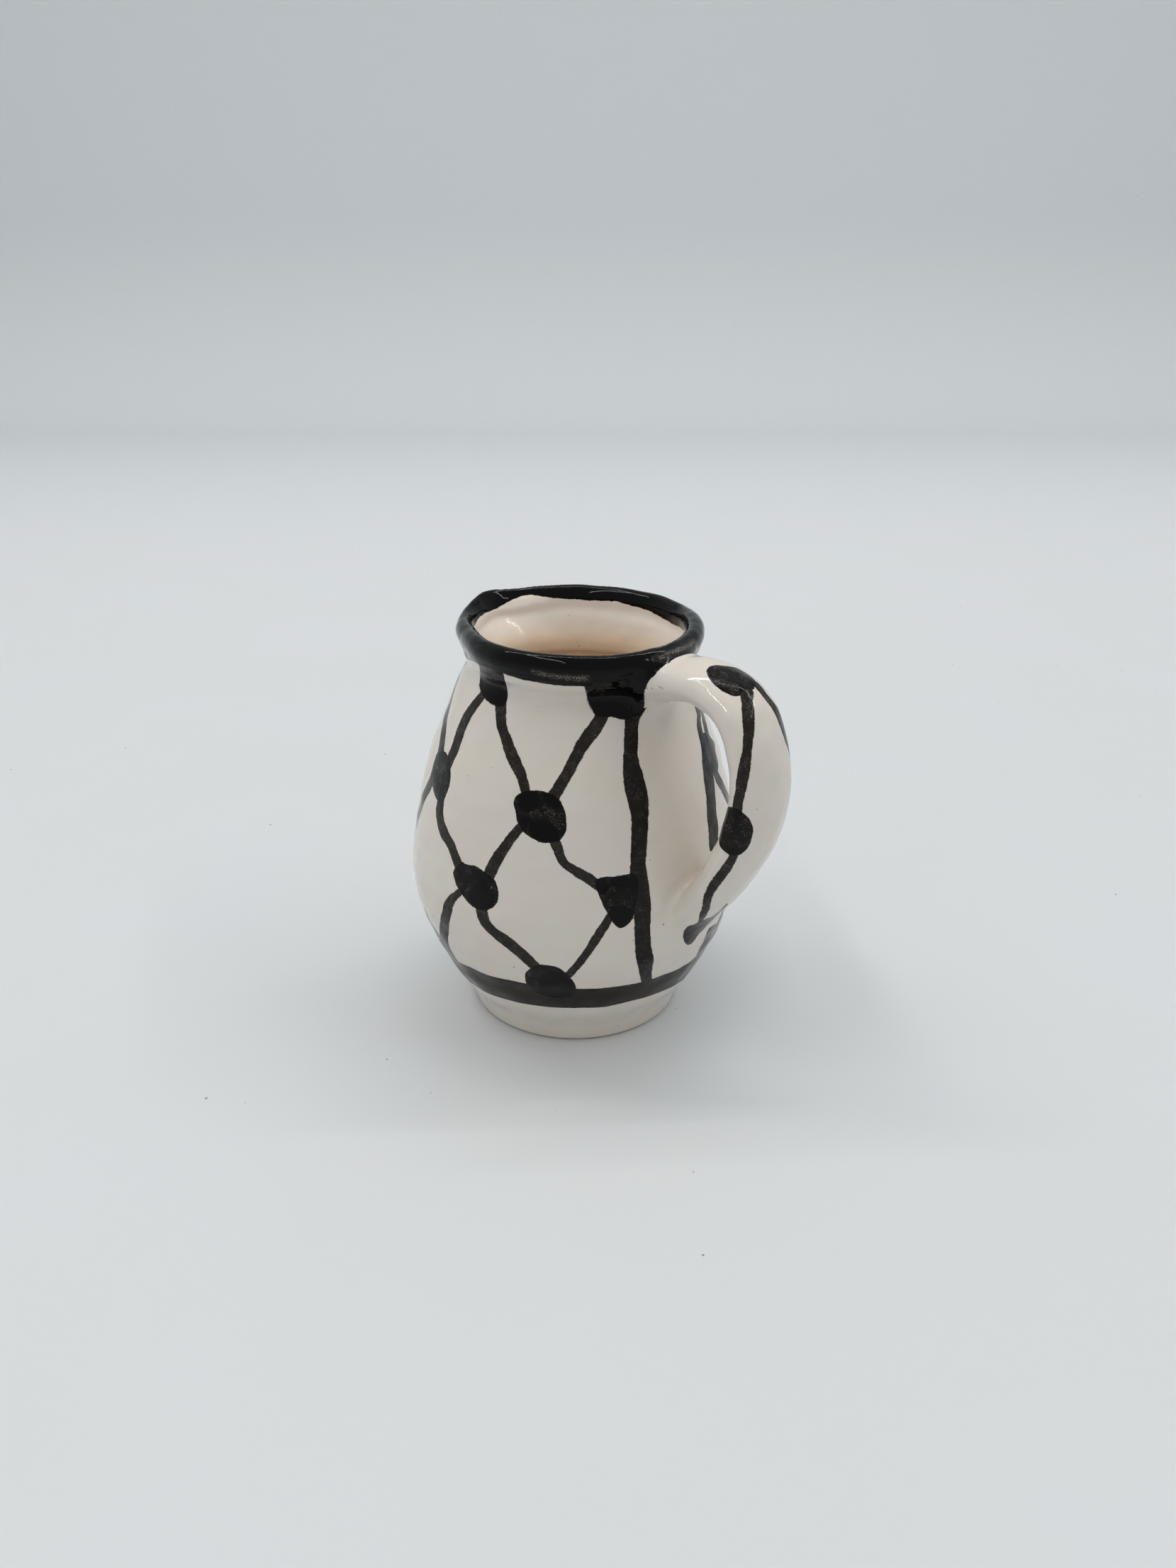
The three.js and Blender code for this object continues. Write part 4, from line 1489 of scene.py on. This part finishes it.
def glaze(name):
    """Glossy cream glaze with dark brushwork under it; thin paint lets the cream through."""
    n, shader, where = new_material(name)
    cloud = n.noise(where, 0.012, 3)
    mottle = n.noise(where, 0.0022, 4, 0.6)
    hatch = n.noise(where, 0.0007, 2, 0.6, (1, 1, 2.6))
    grain = n.noise(where, 0.0003, 2, 0.7)
    wander = n.noise(where, 0.0016, 2, 0.5)
    uneven = n.times(n.math("SUBTRACT", wander, 0.5), 0.5)
    sandy = n.times(n.math("SUBTRACT", grain, 0.5), 0.35)
    off = n.math("ADD", uneven, sandy)

    def coat(key, soft=0.13, move=1.0):
        """Where a coat of paint lies: its edge wanders by a share of the noise and is soft by so much."""
        distance = n.linear(off, move, n.value(key))
        return n.ramp(distance, soft, -soft)

    # How much of the paint the brush left on lines, dots and the band: less in fine streaks
    weave = n.math("MAXIMUM", n.ramp(hatch, 0.45, 0.7, 0, 0.7), n.ramp(grain, 0.5, 0.72))
    thin = n.times(weave, n.ramp(mottle, 0.38, 0.62, 0.15, 1.0))
    worn = n.linear(thin, -0.64, 1.2)
    dabbed = n.linear(thin, -1.3, 1.65)
    even = n.linear(thin, -0.2, 1.25)
    lines = n.times(coat("lines"), worn)
    broad = n.times(coat("broad"), n.times(worn, 1.15))
    band = n.times(coat("band", 0.12, 0.6), even)
    dots = n.times(coat("dots", 0.1, 0.8), dabbed)
    dabs = n.times(coat("dabs", 0.3, 1.5), 1.2)
    lip = n.times(coat("lip", 0.16, 1.2), 2.3)
    dry = n.times(coat("dry", 0.7, 1.5), n.ramp(grain, 0.4, 0.56))
    ink = n.math("MAXIMUM", n.math("MAXIMUM", lines, broad), band)
    ink = n.math("ADD", n.times(ink, 0.95), n.math("ADD", dots, dabs))
    ink = n.math("MINIMUM", n.math("ADD", ink, lip), INK_MOST)
    ink = n.times(ink, n.linear(dry, -0.82, 1.0))

    # The colour under the paint: clouds, painted light and warm painted bounce inside the mouth, tan
    # painted shade in the crease, specks and a fine crack
    warm = n.ramp(cloud, 0.4, 0.75, 0.0, 0.45)
    base = n.blend(warm, CREAM, CREAM_WARM)
    # Painted light inside the mouth: a lighter cream all through, and a peach of painted bounce light
    # deeper down
    inside = n.value("inside")
    deep = n.ramp(inside, 0.5, 1.0)
    base = n.blend(n.ramp(inside, 0.0, 0.5), base, MOUTH_PAINTED_LIGHT)
    base = n.blend(deep, base, PAINTED_BOUNCE_PEACH)
    # Tan painted shade along the crease between handle and wall
    crease_shade = n.times(n.ramp(n.value("crease_shade"), 0.7, 1.0), n.ramp(cloud, 0.35, 0.6))
    base = n.blend(n.times(crease_shade, 0.4), base, CREASE_SHADE_TAN)
    spots = n.specks(where, 0.0031, 0.00012, 0.00028, 0.2)
    dust = n.specks(where, 0.0013, 0.00005, 0.0001, 0.08)
    spots = n.math("MAXIMUM", n.times(spots, 0.8), n.times(dust, 0.45))
    cracked = n.times(coat("crack", 0.12, 0.5), n.ramp(grain, 0.34, 0.46))
    base = n.blend(n.math("MAXIMUM", spots, n.times(cracked, 0.85)), base, SPECK)
    parts = n.add("ShaderNodeCombineColor")
    for channel, strength in enumerate(INK):
        clear = n.math("EXPONENT", n.times(ink, -strength))
        n.link(clear, parts.inputs[channel])
    colour = n.blend(1.0, base, parts.outputs[0], "MULTIPLY")

    # The foot's standing face is wiped bare
    bare = n.ramp(n.linear(mottle, 0.0004, n.parts(where)[2]), 0.0009, 0.0006)
    colour = n.blend(bare, colour, RAW_CLAY)

    # Soft dents, a faint orange peel, and the paint's own thickness
    normal = n.bump(n.noise(where, 0.005, 3), 0.00015)
    normal = n.bump(wander, 0.00002, normal)
    normal = n.bump(n.times(ink, 0.3), 0.0001, normal)
    rough = n.ramp(ink, 0.2, 1.2, 0.05, 0.04)
    rough = n.math("ADD", rough, n.ramp(mottle, 0.5, 0.8, 0.0, 0.02))
    rough = n.linear(deep, 0.2, rough)
    rough = n.math("MAXIMUM", rough, n.times(bare, 0.8))
    n.link(colour, shader.inputs["Base Color"])
    n.link(rough, shader.inputs["Roughness"])
    n.link(normal, shader.inputs["Normal"])
    n.link(n.ramp(ink, 0.2, 1.2, 0.4, 0.16), shader.inputs["Specular IOR Level"])
    shader.inputs["IOR"].default_value = 1.5
    return n.owner


# Table and backdrop in one sweep

FLOOR_PALE = (0.665, 0.69, 0.705, 1)
FLOOR_WARM = (0.675, 0.68, 0.675, 1)
# The table painted lighter far behind the jug, in place of light that falls off there
FLOOR_PAINTED_LIGHT_BACK = (0.79, 0.82, 0.835, 1)
WALL_COLOUR = (0.69, 0.72, 0.74, 1)
DUST = (0.3, 0.28, 0.26, 1)
SWEEP_FRONT = -1500.0
SWEEP_NEAR = -300.0
SWEEP_BACK = 1180.0
SWEEP_BEND = 240.0
SWEEP_TOP = 1500.0
SWEEP_HALF = 1800.0
SWEEP_BEND_STEPS = 24


def floor_finish():
    """A pale table top with faint clouds, fine grain and a little dust; painted lighter far behind the jug,
    where less light falls.
    """
    n, shader, where = new_material("pale_table")
    cloud = n.noise(where, 0.09, 3)
    colour = n.blend(n.ramp(cloud, 0.35, 0.65, 0, 0.6), FLOOR_PALE, FLOOR_WARM)
    # Painted light: the table lighter far behind the jug
    colour = n.blend(n.ramp(n.along(where, AWAY), 0.1, 1.0), colour, FLOOR_PAINTED_LIGHT_BACK)
    colour = n.blend(n.ramp(n.parts(where)[2], -0.02, 0.25), colour, WALL_COLOUR)
    colour = n.blend(n.specks(where, 0.009, 0.0002, 0.0005, 0.12), colour, DUST)
    n.link(colour, shader.inputs["Base Color"])
    shader.inputs["Roughness"].default_value = 0.6
    shader.inputs["Specular IOR Level"].default_value = 0.15
    return n.owner


def make_sweep():
    profile = [(SWEEP_FRONT, 0), (SWEEP_NEAR, 0), (0, 0), (SWEEP_BACK, 0)]
    for step in range(1, SWEEP_BEND_STEPS + 1):
        turn = step / SWEEP_BEND_STEPS * math.pi / 2
        out = SWEEP_BACK + SWEEP_BEND * math.sin(turn)
        profile.append((out, SWEEP_BEND * (1 - math.cos(turn))))
    profile.append((SWEEP_BACK + SWEEP_BEND, SWEEP_TOP))
    sides = (-SWEEP_HALF, 0, SWEEP_HALF)
    points = [to_frame(AWAY * back + RIGHT * side + (0, 0, up)) for back, up in profile for side in sides]
    faces = []
    for row in range(len(profile) - 1):
        for column in range(len(sides) - 1):
            a = row * len(sides) + column
            faces.append((a, a + 1, a + len(sides) + 1, a + len(sides)))
    mesh = bpy.data.meshes.new("table_sweep")
    mesh.from_pydata(points, [], faces)
    mesh.polygons.foreach_set("use_smooth", np.ones(len(faces), bool))
    mesh.materials.append(floor_finish())
    add_object("table_sweep", mesh)


# Light: a pale room that is darker on the camera's side, and thin bright strips overhead round the table

WORLD_LIGHT = (0.95, 0.98, 1.0, 1)
WORLD_PALE = 0.66
WORLD_DIM = 0.5
# The side of the room that is dimmer, and where along it the light changes
DIM_SIDE = np.array([0, 0, 0.6]) - 0.8 * AWAY
DIM_FROM, DIM_TO = -0.3, 0.9
STRIP_UP = 1216.0
STRIP_WIDE = 0.016
LAMPS_PER_METRE = 20
# A small lamp's dark and bright level, and where between two lamps the level changes
BEAD_DARK, BEAD_BRIGHT = 0.25, 1.75
BEAD_FROM, BEAD_TO = 0.15, 0.35
LAMP_COLOUR = (1.0, 0.985, 0.965)
# Each strip's power, then its two ends: right and away from the jug's axis
STRIPS = [
    (6.6, (-960, 224), (896, 336)),
    (3.9, (-560, 144), (-400, -1216)),
    (3.7, (928, 224), (1216, -848)),
]


def make_world():
    n = Nodes(bpy.data.worlds.new("studio"))
    sky = n.tree.nodes["Background"]
    sky.inputs["Color"].default_value = WORLD_LIGHT
    toward = n.along(n.add("ShaderNodeTexCoord").outputs["Generated"], DIM_SIDE)
    n.link(n.ramp(toward, DIM_FROM, DIM_TO, WORLD_PALE, WORLD_DIM), sky.inputs["Strength"])
    bpy.context.scene.world = n.owner


def beads(lamp, count):
    """Breaks a strip into a row of small bright lamps."""
    n = Nodes(lamp)
    along = n.parts(n.add("ShaderNodeNewGeometry").outputs["Parametric"])[0]
    wave = n.math("PINGPONG", along, 0.5 / count)
    level = n.ramp(wave, BEAD_FROM / count, BEAD_TO / count, BEAD_DARK, BEAD_BRIGHT, soft=False)
    n.link(level, n.tree.nodes["Emission"].inputs["Strength"])


def make_strip(name, power, start, end):
    ends = [to_frame(RIGHT * r + AWAY * a + np.array([0, 0, STRIP_UP])) for r, a in (start, end)]
    along = ends[1] - ends[0]
    lamp = bpy.data.lights.new(name, "AREA")
    lamp.shape = "RECTANGLE"
    lamp.size = along.length
    lamp.size_y = STRIP_WIDE
    lamp.energy = power
    lamp.color = LAMP_COLOUR
    beads(lamp, round(along.length * LAMPS_PER_METRE))
    light = add_object(name, lamp)
    x, z = along.normalized(), Vector((0, 0, 1))
    place(light, (ends[0] + ends[1]) / 2, x, z.cross(x), z)
    light.visible_camera = False


def make_lights():
    make_world()
    for index, strip in enumerate(STRIPS):
        make_strip(f"strip_{index + 1}", *strip)


make_jug()
make_sweep()
make_lights()
place_camera()
bpy.context.scene.view_settings.view_transform = "Standard"


def corners(box):
    return [[float(v) for v in corner] for corner in box]
